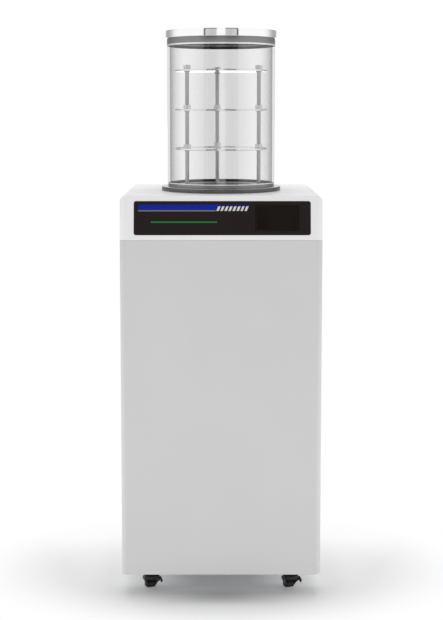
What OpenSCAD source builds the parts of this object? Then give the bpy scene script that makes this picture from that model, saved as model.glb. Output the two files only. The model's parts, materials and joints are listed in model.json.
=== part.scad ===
// Floor-standing laboratory freeze dryer: a sheet-metal cabinet on four casters,
// a cold trap with its refrigeration set inside, and a clear drying chamber on the deck.
// The front faces -Y, +X is to the right, and the floor is at z = 0.

/* [Cabinet] */
// Width across the side panels
body_w = 450; // [420:1:600]
// Depth from the front panel to the rear panel
body_d = 420; // [400:1:560]
// Height from the cabinet's bottom edge to its deck
body_h = 860; // [760:1:1050]
// Height of the upper housing that carries the console
head_h = 98; // [94:1:120]
// How far the console's top edge lies behind its bottom edge
console_setback = 14; // [8:1:20]
// Thickness of the sheet metal
sheet = 2; // [1.5:0.5:2.5]
// Radius of the upright front corners
corner_r = 13; // [8:1:18]
// Radius along both sides of the deck
edge_r = 14; // [8:1:14]
// How far the front panel laps over the front posts
post_lap = 11; // [6:1:20]
// Gap between neighbouring panels
seam = 0.4; // [0.3:0.1:0.8]
// Thickness of the base plate
base_t = 3; // [2:0.5:5]

/* [Console] */
// Width of the console plate
console_w = 391; // [330:1:400]
// Centre of the console plate, to the right of the middle
console_x = 2.5; // [-4:0.5:4]
// Height of the console plate along the leaning face
console_h = 75; // [66:1:78]
// Width of the touch screen
screen_w = 97; // [90:1:120]
// Height of the touch screen
screen_h = 56; // [45:1:60]
// Centre of the touch screen, to the right of the middle
screen_x = 124; // [105:1:130]

/* [Drying chamber] */
// Outer diameter of the clear tube
tube_d = 255; // [240:1:280]
// Wall of the clear tube
tube_wall = 7; // [5:0.5:9]
// Length of the clear tube
tube_h = 319.6; // [300:0.1:400]
// Outer diameter of the steel flange on the deck
flange_d = 280; // [278:1:310]
// Thickness of the steel flange
flange_t = 8; // [6:1:12]
// Height of the rubber ring under the tube
gasket_h = 7.4; // [5:0.2:10]
// Diameter of the lid
lid_d = 260; // [258:1:290]
// Height of the lid's rim
lid_rim_h = 17; // [12:1:24]
// Height of the band below the lid's rim
lid_band_h = 14; // [10:1:20]
// Height of the rubber ring on top of the tube
lid_seal_h = 4; // [3:0.5:6]

/* [Tray rack] */
// Diameter of a tray
tray_d = 218; // [200:1:220]
// Height of a tray's rim
tray_h = 3.5; // [3:0.5:12]
// Thickness of the tray's sheet
tray_sheet = 1.5; // [1:0.25:2.5]
// Height of the lowest tray above the deck
first_tray = 96; // [60:1:110]
// Distance from one tray to the next
tray_pitch = 91; // [70:1:100]
// Diameter of a rack rod
rod_d = 9; // [6:0.5:10]
// Distance of the rods from the chamber's axis
rod_ring_r = 96.4; // [85:0.1:98]
// Outer diameter of a collar on a rod
collar_d = 16; // [13:0.5:18]
// Height of a collar
collar_h = 12; // [8:1:16]

/* [Cold trap] */
// Inner diameter of the trap
trap_d = 200; // [180:1:210]
// Depth of the trap below the deck
trap_depth = 190; // [150:1:220]
// Thickness of the trap's steel
trap_wall = 1.5; // [1:0.5:2]
// Thickness of the foam round the trap
foam_t = 28; // [20:1:32]
// Number of turns of the evaporator tube
coil_turns = 6; // [4:1:7]

/* [Casters] */
// Height from the floor to the cabinet's bottom edge
caster_h = 50; // [48:1:60]
// Diameter of a caster wheel
wheel_d = 18; // [16:0.5:20]
// Width of a caster wheel
wheel_w = 19; // [16:1:20]
// Distance of a caster's swivel axis from the sides
caster_inset_x = 65; // [50:1:80]
// Distance of a caster's swivel axis from the front and rear
caster_inset_y = 46; // [40:1:70]
// How far the caster forks are turned as the cabinet stands
caster_yaw = 20; // [0:1:30]

/* [Services] */
// How far the vacuum port stands out behind the rear panel
rear_reach = 40; // [38:1:50]
// Inner diameter of the vacuum port
port_d = 24; // [20:1:26]

/* [Hidden] */
$fn = 96;

// Clearances: a close fit, a running fit on a radius, a loose hole, and a working gap
close_fit = 0.1;
running_fit = 0.05;
loose_fit = 0.3;
work_gap = 0.3;

// Cabinet planes
side_in = body_w / 2 - sheet;
rear_in = body_d / 2 - sheet;
deck_z = caster_h + body_h;
deck_under = deck_z - sheet;
bend_z = deck_z - head_h;
base_top = caster_h + base_t;
lean = atan(console_setback / head_h);
slope_h = norm([head_h, console_setback]);
panel_h = body_h - head_h - seam;

// Frame
post_leg = 40;
post_side = 25;
post_t = 2;
post_top = deck_z - 24;
post_front_y = -body_d / 2 + console_setback + corner_r + 2;
wrap_y = post_front_y + post_lap;
rail_w = 20;
rail_y = body_d / 2 - 45;
rail_foot_h = 12;

// Rear panel: a service plate with the connections, and the tall panel above it
louvre_first = base_top + 24;
louvre_step = 15;
louvre_rows = 14;
service_rows = 9;
service_top = louvre_first + (service_rows - 0.5) * louvre_step;
screw_x = side_in - 15;
screw_zs = [caster_h + 30, service_top - 16, service_top + 16, caster_h + 510, bend_z - 22,
    bend_z + 20, post_top - 16];
screw_r = 2;
screw_head_r = 4;
screw_head_h = 2.2;

// Console
console_mid = slope_h / 2 - 0.15;
console_r = 5;
console_flange = 4;
console_flange_t = 3;
console_proud = 0.5;
console_back = sheet + console_flange_t;
board_gap = 12;
board_w = 190;
board_h = 44;
board_x = -85;
board_mid = 44;
board_t = 1.6;
module_t = 10;

// Drying chamber
tube_r = tube_d / 2;
tube_in = tube_r - tube_wall;
gasket_r = tube_r - 2.5;
seal_in = tube_in - 8.5;
seal_lip_r = tube_in - work_gap;
seal_lip_h = 1.5;
rim_t = 2;
rim_r = trap_d / 2 + 25;
flange_z = deck_z + rim_t;
gasket_z = flange_z + flange_t;
tube_z = gasket_z + gasket_h;
tube_top = tube_z + tube_h;
band_z = tube_top + lid_seal_h;
band_r = tube_r - 0.5;
rim_z = band_z + lid_band_h;
lid_top = rim_z + lid_rim_h;
lid_plate_t = 6;

// Tray rack
rack_base_t = 3;
rack_turn = 95.4;
rod_angles = [rack_turn, rack_turn + 120, rack_turn + 240];
tray_zs = [for (i = [2:-1:0]) deck_z + first_tray + i * tray_pitch];
shoulder_h = 2;
shoulder_r = rod_d / 2 + 2.5;

// Cold trap
trap_r = trap_d / 2;
trap_out = trap_r + trap_wall;
trap_floor = deck_z - trap_depth;
trap_under = trap_floor - trap_wall;
trap_corner = 12;
drain_r = 7;
drain_bore = 5;
coil_tube_r = 4.75;
coil_gap = 0.9;
coil_r = trap_out + coil_gap + coil_tube_r;
coil_low = trap_under + 22;
coil_high = deck_z - 62;
coil_knee_r = coil_r + 6;
coil_pocket = coil_knee_r + coil_tube_r + 2;
foam_r = coil_pocket + foam_t;
foam_low = trap_under - 14;
coil_in_angle = 180;
coil_out_angle = 225;
coil_tail = foam_r + 4;

// Refrigeration set
comp_x = -body_w / 2 + 130;
comp_y = -body_d / 2 + 115;
comp_r = 78;
comp_h = 200;
mount_h = 12;
foot_t = 3;
foot_z = base_top + mount_h;
comp_z = foot_z + foot_t;
foot_w = 190;
foot_d = 150;
foot_hole_x = 82;
foot_hole_y = 62;
grommet_r = 13;
grommet_neck = 7;
grommet_cap_h = 6;
grommet_top = foot_z + foot_t + 1 + grommet_cap_h;
bolt_r = 3;
stub_top = comp_z + comp_h + 14;
suction_x = comp_x - 45;
discharge_x = comp_x + 45;
pipe_r = 4;
suction_r = 6;

// Condenser and fan
cond_w = 250;
cond_h = 236;
cond_d = 60;
cond_y = rear_in - 68;
cond_mid_y = cond_y + cond_d / 2;
tube_rows = 6;
tube_step = 35;
tube_first = base_top + 30;
cond_tube_r = 4.75;
cond_end = cond_w / 2 + 10;
fan_z = base_top + cond_h / 2;
fan_r = 100;
shroud_r = fan_r + 4;
shroud_y = cond_y - sheet;
collar_len = 20;
fan_y = shroud_y - 20;
fan_len = 18;
motor_r = 34;
motor_len = 52;
strut_x = 116;
strut_z = 26;
strut_y = fan_y - 6;
bar_t = 3;
bar_h = 12;
shaft_r = 4;
shaft_depth = 30;

// Pipe runs
drier_x = -side_in + 23;
drier_y = 60;
drier_z = base_top + 277;
drier_h = 120;
drier_r = 12;
pipe_x = -cond_w / 2 - 23;
cross_z = base_top + 247;

// Rear services
port_z = deck_z - 45;
port_r = port_d / 2;
port_out = port_r + 2;
port_y0 = sqrt(pow(trap_r, 2) - pow(port_out, 2));
port_len = body_d / 2 + rear_reach - port_y0;
port_flange_r = 20;
gauge_y = (foam_r + rear_in) / 2 + 5;
gauge_r = 15;
vent_x = -70;
vent_tube_r = 4;
vent_y0 = sqrt(pow(trap_r, 2) - pow(vent_x, 2)) + 4;
vent_neck_r = 7;
vent_body_r = 9;
knob_y = body_d / 2 + 16;
knob_r = 12;
knob_h = 16;
stem_r = 3;
valve_x = -170;
valve_z = caster_h + 60;
valve_r = 10;
spigot_r = 5;
spigot_h = 14;
valve_end = body_d / 2 + rear_reach - 2 - spigot_h;
valve_y0 = rear_in - 18;
stem_y = body_d / 2 + 12;
hose_r = 9;
hose_bend_z = foam_low - 60;
inlet_x = 165;
inlet_z = caster_h + 60;
inlet_w = 48;
inlet_h = 28;
inlet_flange_t = 3;
socket_w = 27;
socket_h = 18;
socket_depth = 17;
switch_z = inlet_z + 55;
switch_w = 26;
switch_h = 20;
rocker_w = 18;
rocker_h = 13;
pivot_r = 1.5;
switch_flange_t = 2.5;
switch_front = body_d / 2 + switch_flange_t;

// Casters
plate_w = 42;
plate_t = 2.5;
race_h = 5;
race_r = 12;
king_r = 3;
crown_z = wheel_d + 8;
crown_t = 8;
crown_r = 18;
fork_top = caster_h - plate_t - race_h - work_gap;
trail = 9;
axle_r = 2.5;
hub_r = 4.2;
dish = 1.5;
leg_t = 3;
leg_in = wheel_w / 2 + 0.6;
leg_out = leg_in + leg_t;
leg_knee = crown_z - 4;
leg_front = -9;
leg_rear = 12;
bolt_gap = 15;
caster_x = body_w / 2 - caster_inset_x;
caster_y = body_d / 2 - caster_inset_y;
lever_pin_r = 1.6;
lever_pin_y = -7;
lever_pin_z = crown_z - 1;
lever_eye_r = 3.6;
lever_t = 2;
tread_front = -15;
tread_w = 6;
tread_drop = 8;
tread_reach = 3.5;

// ---------- Helpers ----------

// Moves the cabinet so that the whole part, rear fittings included, is centred on the origin
module placed() { translate([0, -rear_reach / 2, 0]) children(); }

// Local frame of the console: x to the right, y into the cabinet, z up the leaning face
module on_console() { translate([0, -body_d / 2, bend_z]) rotate([-lean, 0, 0]) children(); }

// Turns a shape drawn in plan (x, z up) so that its extrusion runs towards +Y from y
module along_y(y) { translate([0, y, 0]) rotate([90, 0, 0]) mirror([0, 0, 1]) children(); }

// Plan outline with two rounded front corners
module front_outline(w, y0, y1, r) {
    polygon([[-w / 2, y1], [-w / 2, y0 + r], [-w / 2 + r, y0], [w / 2 - r, y0],
        [w / 2, y0 + r], [w / 2, y1]]);
    for (s = [-1, 1]) translate([s * (w / 2 - r), y0 + r]) circle(r);
}

// Rounded rectangle centred on the origin
module rounded_rect(w, h, r) {
    polygon([[-w / 2, -h / 2 + r], [-w / 2 + r, -h / 2], [w / 2 - r, -h / 2], [w / 2, -h / 2 + r],
        [w / 2, h / 2 - r], [w / 2 - r, h / 2], [-w / 2 + r, h / 2], [-w / 2, h / 2 - r]]);
    for (x = [-1, 1], y = [-1, 1]) translate([x * (w / 2 - r), y * (h / 2 - r)]) circle(r);
}

// Slot with round ends, w wide overall
module slot(w, h) {
    square([w - h, h], center = true);
    for (s = [-1, 1]) translate([s * (w - h) / 2, 0]) circle(h / 2);
}

// Ring standing on z
module ring(r_out, r_in, z, h) {
    translate([0, 0, z]) difference() {
        cylinder(h = h, r = r_out);
        translate([0, 0, -1]) cylinder(h = h + 2, r = r_in);
    }
}

// Cylinder that runs towards +Y
module y_rod(r, y, h) { translate([0, y, 0]) rotate([-90, 0, 0]) cylinder(h = h, r = r); }

// Half section of a round vessel with a rounded bottom corner
module vessel_section(r, z0, z1, corner) {
    polygon([[0, z0], [r - corner, z0], [r, z0 + corner], [r, z1], [0, z1]]);
    translate([r - corner, z0 + corner]) circle(corner);
}

function unit(v) = v / norm(v);

// Arc of radius b that rounds the corner at p between a and c
function corner_arc(a, p, c, b, steps) =
    let (u = unit(a - p), v = unit(c - p), half = acos(u * v) / 2, turn = 180 - 2 * half)
    let (mid = p + unit(u + v) * b / sin(half))
    let (from = p + u * b / tan(half) - mid, to = p + v * b / tan(half) - mid)
    [for (i = [0:steps]) let (t = turn * i / steps)
        mid + (from * sin(turn - t) + to * sin(t)) / sin(turn)];

// Route through corner points, each corner rounded with radius b
function rounded_route(pts, b, steps = 4) = concat(
    [pts[0]],
    [for (i = [1:len(pts) - 2]) each corner_arc(pts[i - 1], pts[i], pts[i + 1], b, steps)],
    [pts[len(pts) - 1]]);

function heading(path, i) =
    let (last = len(path) - 1)
    i == 0 ? unit(path[1] - path[0]) :
    i == last ? unit(path[last] - path[last - 1]) :
    unit(unit(path[i + 1] - path[i]) + unit(path[i] - path[i - 1]));

function square_to(t, v) = unit(v - t * (t * v));

// One normal for each point of the path, carried along it without twisting
function carried_normals(path) =
    let (t0 = heading(path, 0), n0 = square_to(t0, abs(t0[2]) < 0.9 ? [0, 0, 1] : [1, 0, 0]))
    [for (i = 0, n = n0; i < len(path);
        i = i + 1, n = i < len(path) ? square_to(heading(path, i), n) : n) n];

// Round tube swept along a path
module swept_tube(path, r, sides = 8) {
    normals = carried_normals(path);
    count = len(path);
    points = [for (i = [0:count - 1]) let (t = heading(path, i), n = normals[i], m = cross(t, n))
        for (k = [0:sides - 1]) path[i] + r * (cos(360 * k / sides) * n + sin(360 * k / sides) * m)];
    walls = [for (i = [0:count - 2], k = [0:sides - 1]) let (j = (k + 1) % sides)
        [i * sides + k, (i + 1) * sides + k, (i + 1) * sides + j, i * sides + j]];
    start = [[for (k = [0:sides - 1]) k]];
    finish = [[for (k = [sides - 1:-1:0]) (count - 1) * sides + k]];
    polyhedron(points, concat(start, walls, finish));
}

// ---------- Cabinet ----------

module base_plate() {
    color("gainsboro") placed() difference() {
        translate([0, 0, caster_h]) linear_extrude(base_t)
            front_outline(body_w - 2 * (sheet + seam), -body_d / 2 + sheet + seam,
                rear_in - seam, corner_r - sheet);
        for (x = [-1, 1], y = [-1, 1])
            translate([comp_x + x * foot_hole_x, comp_y + y * foot_hole_y, caster_h - 1])
                cylinder(h = base_t + 2, r = bolt_r + close_fit);
        at_casters() plate_bolts(caster_h - 1, base_t + 2, bolt_r - 0.5 + close_fit);
    }
}

// Outline of a rear post, in the corner where both coordinates are positive
module rear_post_outline() {
    translate([side_in - post_t, rear_in - post_leg]) square([post_t, post_leg]);
    translate([side_in - post_side - 5, rear_in - post_t]) square([post_side + 5, post_t]);
}

module front_post_outline() {
    translate([side_in - post_t, post_front_y]) square([post_t, post_leg]);
    translate([side_in - post_side, post_front_y]) square([post_side, post_t]);
}

module corner_posts() {
    color("silver") placed() difference() {
        for (s = [0, 1]) mirror([s, 0, 0]) {
            translate([0, 0, base_top]) linear_extrude(post_top - base_top) rear_post_outline();
            translate([0, 0, base_top]) linear_extrude(post_top - base_top) front_post_outline();
        }
        at_rear_screws() y_rod(screw_r + close_fit, rear_in - post_t - 1, post_t + 2);
    }
}

// Two rails that stand on the posts and carry the deck
module deck_rails() {
    color("silver") placed() for (s = [-1, 1]) {
        translate([-side_in + 0.2, s * rail_y - rail_w / 2, post_top])
            cube([2 * side_in - 0.4, rail_w, rail_foot_h]);
        translate([-side_in + edge_r + 6, s * rail_y - rail_w / 2, post_top])
            cube([2 * (side_in - edge_r - 6), rail_w, deck_under - post_top]);
    }
}

module front_panel() {
    color("whitesmoke") placed() translate([0, 0, caster_h]) linear_extrude(panel_h) difference() {
        front_outline(body_w, -body_d / 2, wrap_y, corner_r);
        front_outline(body_w - 2 * sheet, -body_d / 2 + sheet, wrap_y + 1, corner_r - sheet);
    }
}

// Air slots low in a side panel
module side_slots() {
    for (i = [0:7]) translate([0, 0, caster_h + 60 + 16 * i])
        rotate([0, 90, 0]) rotate([0, 0, 90]) linear_extrude(4 * sheet, center = true) slot(110, 6);
}

module side_panel() {
    y0 = wrap_y + seam;
    difference() {
        translate([side_in, y0, caster_h]) cube([sheet, rear_in - seam - y0, panel_h]);
        translate([side_in, 30, 0]) side_slots();
    }
}

module left_side_panel() { color("whitesmoke") placed() mirror([1, 0, 0]) side_panel(); }

module right_side_panel() { color("whitesmoke") placed() side_panel(); }

module at_rear_screws() {
    for (s = [-1, 1], z = screw_zs) translate([s * screw_x, 0, z]) children();
}

module rear_panel() {
    color("whitesmoke") placed() difference() {
        union() {
            translate([-body_w / 2, rear_in, caster_h]) cube([body_w, sheet, service_top - caster_h]);
            translate([-body_w / 2, rear_in, service_top + seam])
                cube([body_w, sheet, caster_h + panel_h - service_top - seam]);
        }
        for (i = [0:louvre_rows - 1], x = [-1, 1])
            translate([x * 62, rear_in - 1, louvre_first + louvre_step * i])
                rotate([-90, 0, 0]) linear_extrude(sheet + 2) slot(112, 7);
        at_rear_screws() y_rod(screw_r + close_fit, rear_in - 1, sheet + 2);
        translate([valve_x, 0, valve_z]) y_rod(valve_r + loose_fit, rear_in - 1, sheet + 2);
        translate([inlet_x, 0, inlet_z]) rear_window(inlet_w, inlet_h);
        translate([inlet_x, 0, switch_z]) rear_window(switch_w, switch_h);
    }
}

// Cut through the rear panel for a fitting of the given size
module rear_window(w, h) {
    translate([-w / 2 - loose_fit, rear_in - 1, -h / 2 - loose_fit])
        cube([w + 2 * loose_fit, sheet + 2, h + 2 * loose_fit]);
}

// Section of the upper housing across its width, with rounded deck edges
module deck_section(t, z0) {
    half = body_w / 2 - t;
    r = edge_r - t;
    top = deck_z - t;
    polygon([[-half, z0], [half, z0], [half, top - r], [half - r, top], [-half + r, top],
        [-half, top - r]]);
    for (s = [-1, 1]) translate([s * (half - r), top - r]) circle(r);
}

// Solid form of the upper housing, drawn in by t on every side but the bottom
module head_form(t, z0) {
    intersection() {
        along_y(-body_d / 2 - 10) linear_extrude(body_d + 10 - t) deck_section(t, z0);
        on_console() translate([0, 0, -head_h]) linear_extrude(2 * head_h + body_d)
            front_outline(body_w - 2 * t, t, body_d + head_h, corner_r - t);
    }
}

module top_housing() {
    color("white") placed() difference() {
        head_form(0, bend_z);
        head_form(sheet, bend_z - 1);
        translate([0, 0, deck_under - 1]) cylinder(h = sheet + 2, r = trap_out + loose_fit);
        on_console() translate([console_x, -1, console_mid]) along_y(0)
            linear_extrude(sheet + 2)
                rounded_rect(console_w + 2 * loose_fit, console_h + 2 * loose_fit, console_r + loose_fit);
        at_rear_screws() y_rod(screw_r + close_fit, rear_in - 1, sheet + 2);
        translate([0, 0, port_z]) y_rod(port_out + loose_fit, rear_in - 1, sheet + 2);
        translate([vent_x, 0, port_z]) y_rod(vent_neck_r + close_fit, rear_in - 1, sheet + 2);
    }
}

module console_plate() {
    color("black") placed() on_console() difference() {
        union() {
            translate([console_x, 0, console_mid]) along_y(-console_proud)
                linear_extrude(sheet + console_proud + 1) rounded_rect(console_w, console_h, console_r);
            translate([console_x, 0, console_mid]) along_y(sheet) linear_extrude(console_flange_t)
                rounded_rect(console_w + 2 * console_flange, console_h + 2 * console_flange, console_r);
            at_board_posts() y_rod(3.5, console_back - 1, board_gap + 1);
        }
        translate([screen_x, -2, console_mid]) along_y(0) linear_extrude(console_back + 4)
            square([screen_w, screen_h], center = true);
    }
}

module at_board_posts() {
    for (x = [-1, 1], z = [-1, 1])
        translate([board_x + x * (board_w / 2 - 8), 0, board_mid + z * (board_h / 2 - 6)]) children();
}

module touch_screen() {
    color([0.1, 0.09, 0.08]) placed() on_console() translate([screen_x, 0, console_mid]) {
        translate([-screen_w / 2 + close_fit, -console_proud, -screen_h / 2 + close_fit])
            cube([screen_w - 2 * close_fit, console_back + console_proud, screen_h - 2 * close_fit]);
        translate([-screen_w / 2 - 6, console_back, -screen_h / 2 - 6])
            cube([screen_w + 12, module_t, screen_h + 12]);
    }
}

module control_board() {
    y0 = console_back + board_gap;
    color("seagreen") placed() on_console() union() {
        translate([board_x - board_w / 2, y0, board_mid - board_h / 2]) cube([board_w, board_t, board_h]);
        for (i = [0:4]) translate([board_x - 78 + 34 * i, y0 + 1, board_mid - 14])
            cube([20, 10, 16]);
        translate([board_x - 60, y0 + 1, board_mid + 8]) cube([120, 7, 8]);
    }
}

module panel_screws() {
    color("silver") placed() at_rear_screws() {
        y_rod(screw_r, rear_in - 5, sheet + 6);
        y_rod(screw_head_r, body_d / 2, screw_head_h);
    }
}

// ---------- Refrigeration set ----------

module compressor() {
    color([0.1, 0.1, 0.1]) placed() translate([comp_x, comp_y, 0]) difference() {
        union() {
            rotate_extrude() intersection() {
                translate([0, comp_z]) square([comp_r, comp_h]);
                union() {
                    translate([0, comp_z]) square([comp_r - 40, comp_h]);
                    translate([0, comp_z + 18]) square([comp_r, comp_h - 58]);
                    translate([comp_r - 18, comp_z + 18]) circle(18);
                    translate([comp_r - 40, comp_z + comp_h - 40]) circle(40);
                }
            }
            translate([-foot_w / 2, -foot_d / 2, foot_z]) cube([foot_w, foot_d, foot_t + 1]);
            translate([suction_x - comp_x, 0, comp_z + comp_h - 30])
                cylinder(h = stub_top - comp_z - comp_h + 30, r = suction_r + 1.5);
            translate([discharge_x - comp_x, 0, comp_z + comp_h - 30])
                cylinder(h = stub_top - comp_z - comp_h + 30, r = pipe_r + 1.5);
            translate([comp_r - 14, -26, comp_z + 70]) cube([30, 52, 60]);
        }
        for (x = [-1, 1], y = [-1, 1]) translate([x * foot_hole_x, y * foot_hole_y, foot_z - 1])
            cylinder(h = foot_t + 3, r = grommet_neck + loose_fit);
    }
}

module at_feet() {
    for (x = [-1, 1], y = [-1, 1]) translate([comp_x + x * foot_hole_x, comp_y + y * foot_hole_y, 0])
        children();
}

// Rubber mounts: a foot under the plate, a neck through it, and a cap above it
module compressor_mounts() {
    color([0.08, 0.08, 0.08]) placed() at_feet() difference() {
        union() {
            translate([0, 0, base_top]) cylinder(h = mount_h, r = grommet_r);
            translate([0, 0, base_top + 1]) cylinder(h = grommet_top - base_top - 1, r = grommet_neck);
            translate([0, 0, grommet_top - grommet_cap_h]) cylinder(h = grommet_cap_h, r = grommet_r - 2);
        }
        translate([0, 0, base_top - 1]) cylinder(h = mount_h + 20, r = bolt_r + loose_fit);
    }
}

module compressor_bolts() {
    color("silver") placed() at_feet() {
        translate([0, 0, caster_h + 0.5]) cylinder(h = grommet_top - caster_h, r = bolt_r);
        translate([0, 0, grommet_top]) cylinder(h = 1.5, r = 9);
        translate([0, 0, grommet_top + 1]) cylinder(h = 5, r = 5.5, $fn = 6);
    }
}

module condenser() {
    fin_step = 13;
    fin_count = 17;
    color("lightgray") placed() {
        for (s = [-1, 1]) translate([s * (cond_w / 2 - 1) - 1, cond_y, base_top])
            cube([2, cond_d, cond_h]);
        for (i = [0:fin_count - 1])
            translate([(i - (fin_count - 1) / 2) * fin_step - 0.6, cond_y + 2, base_top + 10])
                cube([1.2, cond_d - 4, cond_h - 16]);
        for (k = [0:tube_rows - 1]) translate([-cond_end, cond_mid_y, tube_first + k * tube_step])
            rotate([0, 90, 0]) cylinder(h = 2 * cond_end, r = cond_tube_r);
        for (k = [0:tube_rows - 2]) let (s = k % 2 == 0 ? 1 : -1)
            translate([s * cond_end, cond_mid_y, tube_first + (k + 0.5) * tube_step])
                rotate([90, 0, 0]) rotate([0, 0, s > 0 ? -90 : 90])
                    rotate_extrude(angle = 180) translate([tube_step / 2, 0]) circle(cond_tube_r);
    }
}

module fan_shroud() {
    color("dimgray") placed() difference() {
        union() {
            translate([-cond_w / 2, shroud_y, base_top]) cube([cond_w, sheet, cond_h]);
            translate([0, 0, fan_z]) y_rod(shroud_r + sheet, shroud_y - collar_len, collar_len + 1);
            for (x = [-1, 1], z = [-1, 1]) translate([x * strut_x, 0, fan_z + z * strut_z])
                y_rod(4, strut_y - bar_t + 1, shroud_y - strut_y + bar_t);
            for (z = [-1, 1]) translate([-strut_x - 6, strut_y - bar_t, fan_z + z * strut_z - bar_h / 2])
                cube([2 * strut_x + 12, bar_t, bar_h]);
        }
        translate([0, 0, fan_z]) y_rod(shroud_r, shroud_y - collar_len - 1, collar_len + sheet + 3);
    }
}

module fan_motor() {
    y1 = strut_y - bar_t;
    color("gray") placed() translate([0, 0, fan_z]) difference() {
        union() {
            y_rod(motor_r, y1 - motor_len, motor_len);
            y_rod(shaft_r + 4, y1 - 1, bar_t + 2);
        }
        y_rod(shaft_r + running_fit, y1 - shaft_depth - 1, shaft_depth + bar_t + 4);
    }
}

// Hub, five pitched blades and the motor shaft that carries them
module fan_rotor() {
    y1 = strut_y - bar_t;
    color([0.2, 0.2, 0.2]) placed() translate([0, 0, fan_z]) {
        y_rod(22, fan_y, fan_len);
        y_rod(shaft_r, y1 - shaft_depth, fan_y - y1 + shaft_depth + 1);
        for (i = [0:4]) rotate([0, 72 * i, 0]) intersection() {
            translate([0, fan_y + fan_len / 2, fan_r / 2]) rotate([0, 0, 28])
                cube([46, 2, fan_r + 20], center = true);
            difference() {
                y_rod(fan_r, fan_y, fan_len);
                y_rod(20, fan_y - 1, fan_len + 2);
            }
            translate([-40, fan_y + 1, 0]) cube([80, fan_len - 2, fan_r + 10]);
        }
    }
}

module filter_drier() {
    color("peru") placed() translate([drier_x, drier_y, drier_z]) rotate_extrude()
        polygon([[0, 0], [pipe_r + 1, 0], [pipe_r + 1, 8], [drier_r, 20], [drier_r, drier_h - 20],
            [pipe_r + 1, drier_h - 8], [pipe_r + 1, drier_h], [0, drier_h]]);
}

module discharge_line() {
    inlet_z1 = tube_first + (tube_rows - 1) * tube_step;
    color("peru") placed() swept_tube(rounded_route([
        [discharge_x, comp_y, stub_top],
        [discharge_x, comp_y, cross_z + 20],
        [discharge_x, -10, cross_z + 20],
        [pipe_x, -10, cross_z + 20],
        [pipe_x, cond_mid_y, cross_z + 20],
        [pipe_x, cond_mid_y, inlet_z1],
        [-cond_end, cond_mid_y, inlet_z1]], 12), pipe_r);
}

// Condenser to drier, and the thin capillary from the drier to the trap coil
module liquid_line() {
    color("peru") placed() {
        swept_tube(rounded_route([
            [-cond_end, cond_mid_y, tube_first],
            [drier_x, cond_mid_y, tube_first],
            [drier_x, drier_y, tube_first],
            [drier_x, drier_y, drier_z]], 12), pipe_r);
        swept_tube(rounded_route([
            [drier_x, drier_y, drier_z + drier_h],
            [drier_x, drier_y, coil_low],
            [drier_x, 0, coil_low],
            [-coil_tail, 0, coil_low]], 14), 2);
    }
}

module suction_line() {
    c = cos(coil_out_angle);
    s = sin(coil_out_angle);
    run = foam_r + 18;
    color("peru") placed() swept_tube(rounded_route([
        [coil_tail * c, coil_tail * s, coil_high],
        [run * c, run * s, coil_high],
        [run * c, run * s, stub_top + 60],
        [suction_x, comp_y, stub_top + 60],
        [suction_x, comp_y, stub_top]], 9), suction_r);
}

// ---------- Cold trap ----------

// Radial tail, a rounded corner, the helix round the trap, and the second tail
function coil_route() =
    let (turn = 360 * coil_turns + coil_out_angle - coil_in_angle - 40, steps = 32 * coil_turns)
    let (a0 = coil_in_angle + 20, rise = (coil_high - coil_low) / steps)
    let (helix = [for (i = [0:steps]) let (a = a0 + turn * i / steps)
        [coil_r * cos(a), coil_r * sin(a), coil_low + rise * i]])
    let (a_in = coil_in_angle, a_out = coil_out_angle)
    let (in_far = [coil_tail * cos(a_in), coil_tail * sin(a_in), coil_low])
    let (in_knee = [coil_knee_r * cos(a_in), coil_knee_r * sin(a_in), coil_low])
    let (out_knee = [coil_knee_r * cos(a_out), coil_knee_r * sin(a_out), coil_high])
    let (out_far = [coil_tail * cos(a_out), coil_tail * sin(a_out), coil_high])
    concat([in_far], corner_arc(in_far, in_knee, helix[0], 12, 4), helix,
        corner_arc(helix[steps], out_knee, out_far, 12, 4), [out_far]);

module trap_coil() { color("peru") placed() swept_tube(coil_route(), coil_tube_r); }

module trap_cup() {
    color("silver") placed() difference() {
        union() {
            rotate_extrude() difference() {
                vessel_section(trap_out, trap_under, flange_z - 1, trap_corner + trap_wall);
                vessel_section(trap_r, trap_floor, flange_z + 1, trap_corner);
            }
            ring(rim_r, trap_r, deck_z, rim_t);
            translate([0, 0, foam_low - 10]) cylinder(h = trap_floor - foam_low + 10, r = drain_r);
        }
        translate([0, 0, foam_low - 11]) cylinder(h = trap_floor - foam_low + 20, r = drain_bore);
        translate([0, 0, port_z]) y_rod(port_out + close_fit, trap_r / 2, trap_r);
        translate([vent_x, 0, port_z]) y_rod(vent_tube_r + close_fit, 20, trap_r);
    }
}

module trap_foam() {
    color("khaki") placed() difference() {
        translate([0, 0, foam_low]) cylinder(h = deck_under - foam_low, r = foam_r);
        translate([0, 0, trap_under]) cylinder(h = deck_z - trap_under, r = trap_out + close_fit);
        translate([0, 0, trap_under + 8]) cylinder(h = coil_high - trap_under + 6, r = coil_pocket);
        translate([0, 0, foam_low - 1]) cylinder(h = 40, r = drain_r + close_fit);
        translate([0, 0, port_z]) y_rod(port_out + loose_fit, 0, foam_r + 1);
        translate([vent_x, 0, port_z]) y_rod(vent_tube_r + loose_fit, 0, foam_r + 1);
        translate([0, 0, coil_low]) rotate([0, 0, coil_in_angle]) rotate([0, 90, 0])
            cylinder(h = foam_r + 1, r = coil_tube_r + loose_fit);
        translate([0, 0, coil_high]) rotate([0, 0, coil_out_angle]) rotate([0, 90, 0])
            cylinder(h = foam_r + 1, r = coil_tube_r + loose_fit);
    }
}

// ---------- Vacuum, vent and drain ----------

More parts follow.
